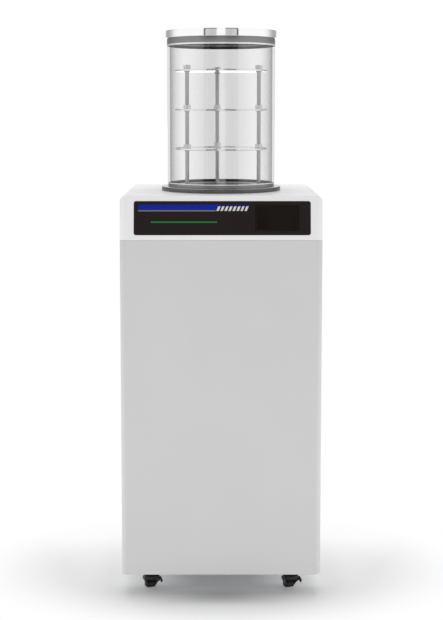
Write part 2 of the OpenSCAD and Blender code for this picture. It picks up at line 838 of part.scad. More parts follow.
// Pipe from the trap to a small flange behind the cabinet, with a boss for the gauge
module vacuum_port() {
    y_end = body_d / 2 + rear_reach;
    color("silver") placed() translate([0, 0, port_z]) difference() {
        union() {
            y_rod(port_out, port_y0, port_len);
            translate([0, y_end, 0]) rotate([90, 0, 0]) rotate_extrude()
                polygon([[port_r + 1, 0], [port_flange_r, 0], [port_flange_r, 3], [port_out, 5],
                    [port_r + 1, 5]]);
            translate([0, gauge_y, -port_out - 6]) cylinder(h = port_out, r = 9);
        }
        y_rod(port_r, port_y0 - 1, port_len + 2);
        translate([0, gauge_y, -port_out - 7]) cylinder(h = port_out, r = 3);
    }
}

module vacuum_gauge() {
    top = port_z - port_out - 6;
    color("silver") placed() translate([0, gauge_y, 0]) {
        translate([0, 0, top - 10]) cylinder(h = 10, r = 8);
        translate([0, 0, top - 52]) cylinder(h = 42.5, r = gauge_r);
        translate([0, 0, top - 62]) cylinder(h = 10.5, r = 8);
    }
}

module vent_valve() {
    color("goldenrod") placed() translate([vent_x, 0, port_z]) difference() {
        union() {
            y_rod(vent_tube_r, vent_y0, rear_in - 15 - vent_y0);
            y_rod(vent_body_r, rear_in - 16, 16);
            y_rod(vent_neck_r, rear_in - 1, sheet + 13);
            y_rod(11, body_d / 2, 4);
        }
        y_rod(stem_r + running_fit, body_d / 2 - 6, 30);
        translate([0, body_d / 2 + 8, -12]) cylinder(h = 12, r = 1.5);
    }
}

module vent_knob() {
    color([0.1, 0.1, 0.1]) placed() translate([vent_x, 0, port_z]) {
        y_rod(stem_r, body_d / 2 - 5.5, 25);
        difference() {
            y_rod(knob_r, knob_y, knob_h);
            for (a = [0:30:330]) rotate([0, a, 0]) translate([knob_r + 0.8, 0, 0])
                y_rod(2, knob_y - 1, knob_h - 2);
        }
    }
}

// Route of the hose between the two stubs, each end drawn out by the given length
function hose_route(extra) = rounded_route([
    [0, 0, foam_low - 1 + extra],
    [0, 0, hose_bend_z],
    [valve_x, 0, hose_bend_z],
    [valve_x, 0, valve_z],
    [valve_x, valve_y0 - 1 + extra, valve_z]], 30, 5);

module drain_hose() {
    color([0.85, 0.85, 0.82]) placed() difference() {
        swept_tube(hose_route(0), hose_r);
        swept_tube(hose_route(1), spigot_r - 1);
        translate([0, 0, foam_low - 10]) cylinder(h = 12, r = drain_r + close_fit);
        translate([valve_x, 0, valve_z]) y_rod(spigot_r + close_fit, valve_y0 - 12, 14);
    }
}

module drain_valve() {
    color("goldenrod") placed() translate([valve_x, 0, valve_z]) difference() {
        union() {
            y_rod(spigot_r, valve_y0 - 12, 13);
            y_rod(valve_r, valve_y0, valve_end - valve_y0);
            y_rod(valve_r + 3, body_d / 2, 3);
            y_rod(spigot_r, valve_end - 1, spigot_h + 1);
            translate([0, stem_y, 0]) cylinder(h = valve_r + 5, r = 6);
        }
        y_rod(3, valve_end - 6, spigot_h + 8);
        translate([0, stem_y, valve_r - 4]) cylinder(h = 20, r = stem_r + running_fit);
    }
}

module drain_lever() {
    z0 = valve_r + 5 + work_gap;
    color("firebrick") placed() translate([valve_x, stem_y, valve_z]) {
        translate([0, 0, valve_r - 3.5]) cylinder(h = z0 - valve_r + 4.5, r = stem_r);
        translate([0, 0, z0]) cylinder(h = 3, r = 7);
        translate([-32, -5, z0]) cube([32, 10, 3]);
        translate([-32, 0, z0]) cylinder(h = 3, r = 5);
    }
}

// ---------- Electrical parts ----------

module power_inlet() {
    color([0.08, 0.08, 0.08]) placed() translate([inlet_x, 0, inlet_z]) {
        difference() {
            union() {
                translate([-inlet_w / 2, rear_in - 24, -inlet_h / 2]) cube([inlet_w, 26, inlet_h]);
                along_y(body_d / 2) linear_extrude(inlet_flange_t)
                    rounded_rect(inlet_w + 12, inlet_h + 10, 4);
            }
            along_y(body_d / 2 + inlet_flange_t - socket_depth) linear_extrude(socket_depth + 1)
                rounded_rect(socket_w, socket_h, 3);
        }
        for (i = [-1:1]) translate([i * 7 - 1, body_d / 2 + 2 - socket_depth, i == 0 ? -1 : -5])
            cube([2, socket_depth - 3, 4]);
    }
}

module power_switch() {
    color([0.08, 0.08, 0.08]) placed() translate([inlet_x, 0, switch_z]) difference() {
        union() {
            translate([-switch_w / 2, rear_in - 20, -switch_h / 2]) cube([switch_w, 23, switch_h]);
            along_y(body_d / 2) linear_extrude(switch_flange_t) rounded_rect(switch_w + 6, switch_h + 6, 2);
        }
        translate([-rocker_w / 2 - loose_fit, switch_front - 13, -rocker_h / 2 - 1])
            cube([rocker_w + 2 * loose_fit, 20, rocker_h + 2]);
        translate([-rocker_w / 2 - 3, switch_front - 3, 0]) rotate([0, 90, 0])
            cylinder(h = rocker_w + 6, r = pivot_r + running_fit);
    }
}

module switch_rocker() {
    color([0.6, 0.1, 0.08]) placed() translate([inlet_x, switch_front - 3, switch_z]) {
        translate([-rocker_w / 2 - 2.5, 0, 0]) rotate([0, 90, 0]) cylinder(h = rocker_w + 5, r = pivot_r);
        rotate([90, 0, 90]) linear_extrude(rocker_w, center = true)
            polygon([[-5, -4], [0, -5], [2.2, -rocker_h / 2 + 1], [3.4, 0], [5.4, rocker_h / 2 - 1],
                [0, 5], [-5, 4]]);
    }
}

module electrical_box() {
    color("lightsteelblue") placed() union() {
        translate([side_in - 62, -100, caster_h + 330]) cube([60, 150, 180]);
        translate([side_in - 3, -88, caster_h + 320]) cube([3, 126, 200]);
        for (i = [0:3]) translate([side_in - 47, -80 + 36 * i, caster_h + 323]) cylinder(h = 8, r = 7);
    }
}

// ---------- Drying chamber ----------

module chamber_flange() {
    r = flange_d / 2;
    rebate_r = rim_r + loose_fit;
    color("silver") placed() rotate_extrude()
        polygon([[trap_r, flange_z], [rebate_r, flange_z], [rebate_r, deck_z], [r, deck_z],
            [r, gasket_z - 1], [r - 1, gasket_z], [trap_r, gasket_z]]);
}

module base_gasket() {
    color([0.1, 0.1, 0.1]) placed() rotate_extrude()
        polygon([[seal_in, gasket_z], [gasket_r, gasket_z], [gasket_r, tube_z], [seal_lip_r, tube_z],
            [seal_lip_r, tube_z + seal_lip_h], [seal_in + 1, tube_z + seal_lip_h],
            [seal_in, tube_z + seal_lip_h - 1]]);
}

module chamber_tube() { color([0.85, 0.9, 0.92, 0.35]) placed() ring(tube_r, tube_in, tube_z, tube_h); }

module lid_seal() {
    color([0.1, 0.1, 0.1]) placed() rotate_extrude()
        polygon([[seal_in, band_z], [band_r, band_z], [band_r, tube_top], [seal_lip_r, tube_top],
            [seal_lip_r, tube_top - seal_lip_h], [seal_in + 1, tube_top - seal_lip_h],
            [seal_in, tube_top - seal_lip_h + 1]]);
}

// Turned lid, hollow underneath, with a rounded top edge
module chamber_lid() {
    r = lid_d / 2;
    round_r = 2.5;
    color("silver") placed() rotate_extrude() difference() {
        union() {
            polygon([[0, band_z], [band_r, band_z], [band_r, rim_z], [r - 0.8, rim_z], [r, rim_z + 0.8],
                [r, lid_top - round_r], [r - round_r, lid_top], [0, lid_top]]);
            translate([r - round_r, lid_top - round_r]) circle(round_r);
        }
        translate([-1, band_z - 1]) square([seal_in + 1, lid_top - lid_plate_t - band_z + 1]);
    }
}

module rack_base() { color("silver") placed() ring(tray_d / 2, trap_r - 16, gasket_z, rack_base_t); }

module at_rods() { for (a = rod_angles) rotate([0, 0, a]) translate([rod_ring_r, 0, 0]) children(); }

module rack_rods() {
    z0 = gasket_z + rack_base_t;
    color("silver") placed() at_rods() {
        translate([0, 0, z0]) cylinder(h = tray_zs[0] + tray_sheet + collar_h - z0, r = rod_d / 2);
        for (z = tray_zs) translate([0, 0, z - shoulder_h]) cylinder(h = shoulder_h, r = shoulder_r);
    }
}

module rack_collars() {
    color("gainsboro") placed() at_rods() for (z = tray_zs)
        ring(collar_d / 2, rod_d / 2 + running_fit, z + tray_sheet, collar_h);
}

module tray(z) {
    color("gainsboro") placed() difference() {
        translate([0, 0, z]) cylinder(h = tray_h, r = tray_d / 2);
        translate([0, 0, z + tray_sheet]) cylinder(h = tray_h, r = tray_d / 2 - tray_sheet);
        at_rods() translate([0, 0, z - 1]) cylinder(h = tray_h + 2, r = rod_d / 2 + loose_fit);
    }
}

module tray_1() { tray(tray_zs[0]); }

module tray_2() { tray(tray_zs[1]); }

module tray_3() { tray(tray_zs[2]); }

// ---------- Casters ----------

// Swivel axis of the caster on side x and end y
module caster_at(x, y) { translate([x * caster_x, y * caster_y, 0]) children(); }

module at_casters() { for (x = [-1, 1], y = [-1, 1]) caster_at(x, y) children(); }

module plate_bolts(z, h, r) {
    for (x = [-1, 1], y = [-1, 1]) translate([x * bolt_gap, y * bolt_gap, z]) cylinder(h = h, r = r);
}

module caster_plates() {
    z1 = caster_h - plate_t;
    color("silver") placed() at_casters() difference() {
        union() {
            translate([0, 0, z1]) linear_extrude(plate_t) rounded_rect(plate_w, plate_w, 5);
            translate([0, 0, z1 - race_h]) cylinder(h = race_h + 1, r = race_r);
        }
        translate([0, 0, z1 - race_h - 1]) cylinder(h = race_h + 2, r = king_r + running_fit);
        plate_bolts(z1 - 1, plate_t + 2, bolt_r - 0.5 + close_fit);
    }
}

module caster_bolts() {
    z1 = caster_h - plate_t;
    color("silver") placed() at_casters() {
        plate_bolts(z1 - 1, plate_t + base_t + 1, bolt_r - 0.5);
        plate_bolts(z1 - 3, 3, 4);
    }
}

// Side plate of a fork: upright at the axle, then flared outwards to the crown's edge
module fork_leg() {
    intersection() {
        rotate([90, 0, 90]) linear_extrude(crown_r + 1) {
            polygon([[leg_front, crown_z + 2], [leg_front, leg_knee - 2], [trail - 5, wheel_d / 2 - 2],
                [trail + 5, wheel_d / 2], [leg_rear, leg_knee], [leg_rear, crown_z + 2]]);
            translate([trail, wheel_d / 2]) circle(5.2);
        }
        translate([0, 30, 0]) rotate([90, 0, 0]) linear_extrude(60)
            polygon([[leg_in, 0], [leg_out, 0], [leg_out, wheel_d / 2 + 4], [crown_r, leg_knee],
                [crown_r, crown_z + 3], [crown_r - leg_t, crown_z + 3], [crown_r - leg_t, leg_knee + 1],
                [leg_in, wheel_d / 2 + 5]]);
    }
}

// Crown, kingpin, two side plates and the wheel's axle; braked forks also hold the lever's pin
module caster_fork(x, y, braked) {
    color([0.12, 0.12, 0.12]) placed() caster_at(x, y) rotate([0, 0, caster_yaw]) {
        translate([0, 0, crown_z]) cylinder(h = crown_t, r = crown_r);
        translate([0, 0, crown_z + crown_t - 1]) cylinder(h = fork_top - crown_z - crown_t + 1, r = race_r);
        translate([0, 0, fork_top - 1]) cylinder(h = race_h + 1, r = king_r);
        for (s = [0, 1]) mirror([s, 0, 0]) fork_leg();
        translate([-leg_in - leg_t, trail, wheel_d / 2]) rotate([0, 90, 0])
            cylinder(h = 2 * (leg_in + leg_t), r = axle_r);
        if (braked) translate([crown_r - 2, lever_pin_y, lever_pin_z]) rotate([0, 90, 0])
            cylinder(h = lever_t + work_gap + 2.6, r = lever_pin_r);
    }
}

module caster_wheel(x, y) {
    r = wheel_d / 2;
    half = wheel_w / 2;
    color([0.1, 0.1, 0.1]) placed() caster_at(x, y) rotate([0, 0, caster_yaw])
        translate([0, trail, r]) rotate([0, 90, 0]) rotate_extrude()
            polygon([[axle_r + running_fit, -half], [hub_r, -half], [hub_r + 0.6, -half + dish],
                [r - 2.6, -half + dish], [r - 2, -half], [r - 1, -half], [r, -half + 1], [r, half - 1],
                [r - 1, half], [r - 2, half], [r - 2.6, half - dish], [hub_r + 0.6, half - dish],
                [hub_r, half], [axle_r + running_fit, half]]);
}

// Foot lever on the outer side plate, with its tread turned outwards
module brake_lever(x, y) {
    x0 = crown_r + work_gap;
    color([0.12, 0.12, 0.12]) placed() caster_at(x, y) rotate([0, 0, caster_yaw]) difference() {
        union() {
            translate([x0, 0, 0]) rotate([90, 0, 90]) linear_extrude(lever_t) {
                translate([0, lever_pin_z]) polygon([[tread_front, 0], [tread_front, -tread_drop],
                    [tread_front + tread_w, -tread_drop], [lever_pin_y, -lever_eye_r],
                    [lever_pin_y + 3, 0], [lever_pin_y, lever_eye_r]]);
                translate([lever_pin_y, lever_pin_z]) circle(lever_eye_r);
            }
            translate([x0, 0, lever_pin_z - tread_drop]) along_y(tread_front) linear_extrude(tread_w)
                polygon([[0, 0], [lever_t, 0], [tread_reach, 3], [tread_reach, 5], [lever_t, tread_drop],
                    [0, tread_drop]]);
        }
        translate([x0 - 1, lever_pin_y, lever_pin_z]) rotate([0, 90, 0])
            cylinder(h = lever_t + 2, r = lever_pin_r + running_fit);
    }
}

module caster_fork_fl() { caster_fork(-1, -1, true); }

module caster_fork_fr() { caster_fork(1, -1, true); }

module caster_fork_rl() { caster_fork(-1, 1, false); }

module caster_fork_rr() { caster_fork(1, 1, false); }

module caster_wheel_fl() { caster_wheel(-1, -1); }

module caster_wheel_fr() { caster_wheel(1, -1); }

module caster_wheel_rl() { caster_wheel(-1, 1); }

module caster_wheel_rr() { caster_wheel(1, 1); }

module brake_lever_fl() { brake_lever(-1, -1); }

module brake_lever_fr() { brake_lever(1, -1); }

base_plate();
corner_posts();
deck_rails();
front_panel();
left_side_panel();
right_side_panel();
rear_panel();
top_housing();
console_plate();
touch_screen();
control_board();
panel_screws();
compressor();
compressor_mounts();
compressor_bolts();
condenser();
fan_shroud();
fan_motor();
fan_rotor();
filter_drier();
discharge_line();
liquid_line();
suction_line();
trap_coil();
trap_foam();
trap_cup();
vacuum_port();
vacuum_gauge();
vent_valve();
vent_knob();
drain_hose();
drain_valve();
drain_lever();
power_inlet();
power_switch();
switch_rocker();
electrical_box();
chamber_flange();
base_gasket();
chamber_tube();
lid_seal();
chamber_lid();
rack_base();
rack_rods();
rack_collars();
tray_1();
tray_2();
tray_3();
caster_plates();
caster_bolts();
caster_fork_fl();
caster_fork_fr();
caster_fork_rl();
caster_fork_rr();
caster_wheel_fl();
caster_wheel_fr();
caster_wheel_rl();
caster_wheel_rr();
brake_lever_fl();
brake_lever_fr();
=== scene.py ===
# %% [markdown]
# # Finishing a laboratory freeze dryer
# A freeze dryer takes the water out of frozen material in a vacuum. This one is a white sheet-metal cabinet on four
# casters. It has a leaning black console at the top of its front, and on its deck stands a clear chamber with three
# round trays under a flat steel lid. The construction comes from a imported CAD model, so nothing here moves or resizes
# it. This lesson gives every surface its finish, models the pieces whose looks the plain CAD shapes can't carry, and
# sets up the studio.

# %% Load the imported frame
import json
import math

import bmesh
import bpy
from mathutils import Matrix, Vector


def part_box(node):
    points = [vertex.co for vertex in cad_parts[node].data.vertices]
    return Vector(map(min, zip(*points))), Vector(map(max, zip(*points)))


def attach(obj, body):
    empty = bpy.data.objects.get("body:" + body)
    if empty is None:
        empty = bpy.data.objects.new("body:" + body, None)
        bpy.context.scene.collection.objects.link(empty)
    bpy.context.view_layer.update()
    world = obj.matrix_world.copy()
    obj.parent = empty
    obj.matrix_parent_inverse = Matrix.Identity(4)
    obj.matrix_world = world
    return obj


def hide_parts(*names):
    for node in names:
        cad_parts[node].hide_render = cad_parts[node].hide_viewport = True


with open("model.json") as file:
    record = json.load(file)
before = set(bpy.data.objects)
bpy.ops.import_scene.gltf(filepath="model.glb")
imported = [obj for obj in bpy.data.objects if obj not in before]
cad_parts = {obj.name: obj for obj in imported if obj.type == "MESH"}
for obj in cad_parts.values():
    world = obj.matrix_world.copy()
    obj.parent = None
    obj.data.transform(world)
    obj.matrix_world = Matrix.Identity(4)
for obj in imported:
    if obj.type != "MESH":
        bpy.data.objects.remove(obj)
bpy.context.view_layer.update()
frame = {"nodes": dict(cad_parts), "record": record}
nodes = frame["nodes"]
slot_of_node = {part["node"]: part["material_slot"] for part in frame["record"]["subparts"]}

# %% [markdown]
# ## The camera
# The camera comes first, because every later choice is judged through it. It stands a little above the deck, almost
# three metres in front of the cabinet, and looks slightly down. The lens is shifted, as an architect's lens is, so
# that the cabinet's upright edges stay almost parallel while its whole height is in the frame.

# %% Camera
deck_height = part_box("top_housing")[1].z
front_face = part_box("front_panel")[0].y
camera_distance = 2.692
camera_above_deck = 0.196
camera_aside = -0.0022
camera_pitch = 5.426
camera_turn = 0.064
camera_lens = 71.2
lens_shift = -0.14

camera_data = bpy.data.cameras.new("studio_camera")
camera = bpy.data.objects.new("studio_camera", camera_data)
bpy.context.scene.collection.objects.link(camera)
camera.location = (camera_aside, front_face - camera_distance, deck_height + camera_above_deck)
camera.rotation_euler = (math.radians(90 - camera_pitch), 0, math.radians(-camera_turn))
camera_data.lens = camera_lens
camera_data.shift_y = lens_shift
bpy.context.scene.camera = camera
bpy.context.scene.view_settings.view_transform = "Standard"
print(f"camera {camera_distance} m from the front, lens {camera_lens} mm")

# %% [markdown]
# ## Helpers for materials
# Each finish starts as one Principled shader with its plain colour, roughness and metalness set on its own sockets.
# What varies over the surface comes from noise that is read in Object coordinates, so that a grain of half a
# millimetre is half a millimetre on every piece. One helper makes the shader, one makes the noise, and three more let
# the noise change the colour, the roughness or the height of the surface. A few small ones add nodes, join them, and
# do arithmetic with them. They work on a material and on the world alike.

# %% Colours and the plain shader
def linear_colour(shown):
    """A colour as a screen shows it, three numbers from 0 to 255, in the linear numbers that shaders use."""
    def linear(value):
        share = value / 255
        return share / 12.92 if share <= 0.04045 else ((share + 0.055) / 1.055) ** 2.4
    return (*map(linear, shown), 1)


def shader_of(material):
    return material.node_tree.nodes["Principled BSDF"]


def surface_of(material):
    return material.node_tree.nodes["Material Output"].inputs["Surface"]


def plain_finish(name, shown, roughness, metallic=0.0, specular=0.5):
    """A material with one shader, its colour given as a screen shows it."""
    material = bpy.data.materials.new(name)
    material.use_nodes = True
    shader = shader_of(material)
    shader.inputs["Base Color"].default_value = linear_colour(shown)
    shader.inputs["Roughness"].default_value = roughness
    shader.inputs["Metallic"].default_value = metallic
    shader.inputs["Specular IOR Level"].default_value = specular
    return material


print("a grey of 231 is", round(linear_colour((231, 231, 231))[0], 3), "in linear light")

# %% Nodes and arithmetic
def add_node(owner, kind, **inputs):
    """Add a shader node and set its inputs; an underscore in a name stands for a space."""
    node = owner.node_tree.nodes.new(kind)
    for name, value in inputs.items():
        node.inputs[name.replace("_", " ")].default_value = value
    return node


def connect(owner, output, socket):
    owner.node_tree.links.new(output, socket)


def calculate(owner, operation, first, *others):
    """Combine outputs and plain numbers with one kind of arithmetic, two at a time, or change a single one."""
    total = first
    for other in others or (0.0,):
        step = add_node(owner, "ShaderNodeMath")
        step.operation = operation
        for socket, value in zip(step.inputs, (total, other)):
            if isinstance(value, (int, float)):
                socket.default_value = value
            else:
                connect(owner, value, socket)
        total = step.outputs["Value"]
    return total


def vector_length(owner, vector):
    length = add_node(owner, "ShaderNodeVectorMath")
    length.operation = "LENGTH"
    connect(owner, vector, length.inputs[0])
    return length.outputs["Value"]


def spread(owner, value, start, end, at_start=0.0, at_end=1.0, smooth=False):
    """Go from one level to another while a value goes from start to end, and stay level beyond them."""
    node = add_node(owner, "ShaderNodeMapRange", From_Min=start, From_Max=end, To_Min=at_start, To_Max=at_end)
    node.interpolation_type = "SMOOTHSTEP" if smooth else "LINEAR"
    connect(owner, value, node.inputs["Value"])
    return node.outputs["Result"]


def grey_ramp(owner, value, stops):
    """Turn a value from 0 to 1 into grey, through (position, grey) stops."""
    node = add_node(owner, "ShaderNodeValToRGB")
    elements = node.color_ramp.elements
    for element, (position, grey) in zip(elements, (stops[0], stops[-1])):
        element.position = position
        element.color = (grey, grey, grey, 1)
    for position, grey in stops[1:-1]:
        elements.new(position).color = (grey, grey, grey, 1)
    connect(owner, value, node.inputs["Fac"])
    return node.outputs["Color"]


def blend(owner, share, first, second):
    """Mix two shaders; share is the part of the second."""
    node = add_node(owner, "ShaderNodeMixShader")
    for socket, value in zip(node.inputs, (share, first, second)):
        connect(owner, value, socket)
    return node.outputs["Shader"]


print("node helpers ready")

# %% Noise, and what it drives
def object_place(material):
    return add_node(material, "ShaderNodeTexCoord").outputs["Object"]


noise_middle = (0.3, 0.7)  # most of a noise lies between these


def object_noise(material, scale, detail, stretch=(1, 1, 1)):
    """Noise in the object's metres, drawn out along the axes whose stretch is small."""
    mapping = add_node(material, "ShaderNodeMapping", Scale=stretch)
    noise = add_node(material, "ShaderNodeTexNoise", Scale=scale, Detail=detail)
    connect(material, object_place(material), mapping.inputs["Vector"])
    connect(material, mapping.outputs["Vector"], noise.inputs["Vector"])
    return noise.outputs["Fac"]


def vary_roughness(material, factor, low, high):
    """Let a noise move the roughness; the middle of its range goes from low to high."""
    connect(material, spread(material, factor, *noise_middle, low, high), shader_of(material).inputs["Roughness"])


def vary_colour(material, factor, first, second):
    mix = add_node(material, "ShaderNodeMix")
    mix.data_type = "RGBA"
    colours = [socket for socket in mix.inputs if socket.type == "RGBA"]
    colours[0].default_value = linear_colour(first)
    colours[1].default_value = linear_colour(second)
    connect(material, spread(material, factor, *noise_middle), mix.inputs[0])
    output = [socket for socket in mix.outputs if socket.type == "RGBA"][0]
    connect(material, output, shader_of(material).inputs["Base Color"])


def add_relief(material, factor, depth, strength):
    """Use a factor as a height map that is depth metres deep."""
    bump = add_node(material, "ShaderNodeBump", Distance=depth, Strength=strength)
    connect(material, factor, bump.inputs["Height"])
    connect(material, bump.outputs["Normal"], shader_of(material).inputs["Normal"])


print("noise helpers ready")

# %% [markdown]
# ## Painted sheet metal
# The cabinet is powder coated. Such a coat is smooth but not flat: it has a fine orange peel, about a millimetre from
# crest to crest, and its gloss changes slightly over a hand's width. The upper housing is a clean white, and the
# lower front panel a shade greyer.

# %% Powder coats
def powder_coat(name, colour, shade):
    """Satin paint with orange peel; shade is the colour that slight unevenness leans towards."""
    material = plain_finish(name, colour, 0.42, specular=0.35)
    vary_colour(material, object_noise(material, 6, 3), colour, shade)
    vary_roughness(material, object_noise(material, 14, 3), 0.38, 0.47)
    add_relief(material, object_noise(material, 900, 2), 0.00002, 0.5)
    return material


housing_white = powder_coat("housing_white", (231, 231, 231), (229, 229, 229))
panel_grey = powder_coat("panel_grey", (204, 204, 204), (202, 202, 202))
caster_black = powder_coat("caster_black", (24, 25, 24), (30, 31, 30))
motor_grey = powder_coat("motor_grey", (120, 123, 126), (112, 115, 118))
print("4 powder coats")

# %% [markdown]
# ## Steel
# The steel shows in several finishes. The lid's rim is polished on a lathe until it mirrors the room, so it is nearly
# smooth with faint rings round the axis, and the trays are almost as bright. The top of the flange and the trap are
# satin, and so are the rack's rods and collars, with marks along their length. The outer wall of the flange and the
# band under the lid's rim take darker copies of the satin steel, which are painted shade. The skin round the lower
# rubber ring takes a grey copy, a painted reflection, and the skin round the upper ring a lighter one, a painted
# highlight. The frame behind the panels is galvanised sheet with the large soft crystals that zinc grows. Lathe marks
# depend only on the distance from the chamber's axis and on the height, so their noise reads those two numbers.

# %% Turned and drawn metals
chamber_centre = (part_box("chamber_tube")[0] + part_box("chamber_tube")[1]) / 2


def turned_noise(material, scale):
    """Noise that depends only on the distance from the chamber's axis and the height, as lathe marks do."""
    place = object_place(material)
    offset = (-chamber_centre.x, -chamber_centre.y, 0)
    flat = add_node(material, "ShaderNodeMapping", Location=offset, Scale=(1, 1, 0))
    height = add_node(material, "ShaderNodeSeparateXYZ")
    ring = add_node(material, "ShaderNodeCombineXYZ")
    noise = add_node(material, "ShaderNodeTexNoise", Scale=scale, Detail=3.0)
    connect(material, place, flat.inputs["Vector"])
    connect(material, place, height.inputs["Vector"])
    connect(material, vector_length(material, flat.outputs["Vector"]), ring.inputs["X"])
    connect(material, height.outputs["Z"], ring.inputs["Y"])
    connect(material, ring.outputs["Vector"], noise.inputs["Vector"])
    return noise.outputs["Fac"]


def turned_steel(name, colour, low, high, relief):
    material = plain_finish(name, colour, (low + high) / 2, metallic=1.0)
    vary_roughness(material, turned_noise(material, 1500), low, high)
    add_relief(material, turned_noise(material, 2500), relief, 0.6)
    return material


def drawn_metal(name, colour, low, high, relief, stretch=(1, 1, 0.05)):
    """Metal with fine marks along one axis, as on drawn tube, rod and brushed sheet."""
    material = plain_finish(name, colour, (low + high) / 2, metallic=1.0)
    vary_roughness(material, object_noise(material, 700, 3, stretch), low, high)
    add_relief(material, object_noise(material, 1800, 2, stretch), relief, 0.6)
    return material


polished_steel = turned_steel("polished_steel", (250, 250, 251), 0.05, 0.11, 0.000001)
# Darker copies of the satin steel: painted shade on the flange's outer wall and the lid's band, and a painted
# reflection on the gasket's skin
satin_steel, painted_shade_steel, painted_reflection_steel, painted_shade_band_steel = (
    turned_steel(name, (grey, grey, grey + 1), 0.30, 0.38, 0.000004)
    for name, grey in (("satin_steel", 222), ("painted_shade_steel", 100), ("painted_reflection_steel", 136), ("painted_shade_band_steel", 138)))
# A lighter copy of the satin steel for the seal's skin: a painted highlight
painted_highlight_steel = turned_steel("painted_highlight_steel", (236, 236, 236), 0.34, 0.42, 0.000002)
tray_steel = turned_steel("tray_steel", (248, 248, 248), 0.06, 0.11, 0.0000005)
rack_steel = drawn_metal("rack_steel", (170, 170, 170), 0.30, 0.38, 0.000002)
shader_of(rack_steel).inputs["Metallic"].default_value = 0.75  # the rods also take some plain light
collar_steel = drawn_metal("collar_steel", (228, 228, 228), 0.34, 0.42, 0.000003, (1, 1, 0.2))
zinc_plate = drawn_metal("zinc_plate", (205, 207, 210), 0.22, 0.34, 0.000004, (1, 1, 1))
port_steel = drawn_metal("port_steel", (205, 205, 206), 0.22, 0.30, 0.000003, (1, 0.05, 1))
copper_tube = drawn_metal("copper_tube", (214, 142, 106), 0.22, 0.38, 0.000004)
turned_brass = drawn_metal("turned_brass", (214, 178, 104), 0.20, 0.32, 0.000003, (1, 0.05, 1))
fin_aluminium = drawn_metal("fin_aluminium", (222, 224, 226), 0.30, 0.42, 0.000004, (1, 1, 0.2))

galvanised = plain_finish("galvanised", (190, 193, 196), 0.4, metallic=1.0)
spangle = add_node(galvanised, "ShaderNodeTexVoronoi", Scale=90)
connect(galvanised, object_place(galvanised), spangle.inputs["Vector"])
vary_colour(galvanised, spangle.outputs["Distance"], (196, 199, 202), (172, 176, 180))
vary_roughness(galvanised, spangle.outputs["Distance"], 0.34, 0.5)
print("15 metals, lathe marks round", [round(c, 3) for c in chamber_centre[:2]])

# %% [markdown]
# ## Plastic, rubber and foam
# Moulded plastic has a fine leather-like texture where a hand touches it, and is smooth where it is printed or looked
# through. Rubber is duller and carries a little dust. These differ only in colour, gloss and the size of their grain.

# %% Plastics and rubbers
def moulded(name, colour, roughness, grain=700, depth=0.00003, specular=0.5):
    material = plain_finish(name, colour, roughness, specular=specular)
    vary_roughness(material, object_noise(material, 60, 3), roughness - 0.04, roughness + 0.06)
    add_relief(material, object_noise(material, grain, 3), depth, 0.6)
    return material


console_black = moulded("console_black", (33, 26, 26), 0.42, 1500, 0.000006, specular=0.10)
screen_glass = moulded("screen_glass", (21, 15, 10), 0.20, 2500, 0.000001, specular=0.08)
black_rubber = moulded("black_rubber", (22, 22, 22), 0.62, 500, 0.00004, specular=0.3)
wheel_rubber = moulded("wheel_rubber", (26, 26, 25), 0.5, 400, 0.00006, specular=0.35)
black_plastic = moulded("black_plastic", (24, 24, 25), 0.46)
fan_plastic = moulded("fan_plastic", (38, 38, 40), 0.5)
box_grey = moulded("box_grey", (205, 208, 211), 0.45)
rocker_red = moulded("rocker_red", (186, 28, 22), 0.3, 900, 0.00001)
handle_red = moulded("handle_red", (176, 34, 26), 0.42, 500, 0.00006)
board_green = moulded("board_green", (30, 96, 56), 0.35, 300, 0.00008)
silicone_hose = moulded("silicone_hose", (222, 223, 219), 0.38, 300, 0.00003)

shell_black = plain_finish("shell_black", (20, 20, 21), 0.25)
vary_roughness(shell_black, object_noise(shell_black, 18, 4), 0.18, 0.34)
add_relief(shell_black, object_noise(shell_black, 160, 3), 0.0002, 0.4)

foam_yellow = plain_finish("foam_yellow", (226, 208, 150), 0.85, specular=0.2)
vary_colour(foam_yellow, object_noise(foam_yellow, 40, 5), (232, 215, 160), (206, 184, 122))
add_relief(foam_yellow, object_noise(foam_yellow, 260, 5), 0.0012, 0.8)
print("13 plastics, rubbers, foams and shells")

# %% [markdown]
# ## Modelling helpers
# Everything that is made by hand here starts as a primitive, is shaped with edit-mode operators, and gets its fine
# rounding from a Bevel modifier that is then applied. Operators act on whatever is selected, so each helper clears
# the selection first. A finished piece gives its object's place to its mesh, takes a finish, and rides on a body of
# the machine.

# %% Selecting and changing a piece
tolerance = 0.00001  # metres: two places as close as this count as one


def clear_selection():
    if bpy.context.object and bpy.context.object.mode != "OBJECT":
        bpy.ops.object.mode_set(mode="OBJECT")
    bpy.ops.object.select_all(action="DESELECT")


def only(piece):
    clear_selection()
    piece.select_set(True)
    bpy.context.view_layer.objects.active = piece


def pick(piece, kind, test):
    """In edit mode, select the vertices, edges or faces whose middle (and normal, for faces) pass a test."""
    bpy.ops.mesh.select_mode(type=kind)
    bpy.ops.mesh.select_all(action="DESELECT")
    shape = bmesh.from_edit_mesh(piece.data)
    parts = {"VERT": shape.verts, "EDGE": shape.edges, "FACE": shape.faces}[kind]
    for part in parts:
        if kind == "VERT":
            chosen = test(part.co)
        elif kind == "EDGE":
            chosen = test((part.verts[0].co + part.verts[1].co) / 2)
        else:
            chosen = test(part.calc_center_median(), part.normal)
        part.select_set(chosen)
    shape.select_flush_mode()
    bmesh.update_edit_mesh(piece.data)


def round_edges(piece, width, segments=3, angle=30):
    """Round every edge sharper than an angle, and keep the new faces in the mesh."""
    only(piece)
    bevel = piece.modifiers.new("rounding", "BEVEL")
    bevel.width = width
    bevel.segments = segments
    bevel.limit_method = "ANGLE"
    bevel.angle_limit = math.radians(angle)
    bpy.ops.object.modifier_apply(modifier="rounding")


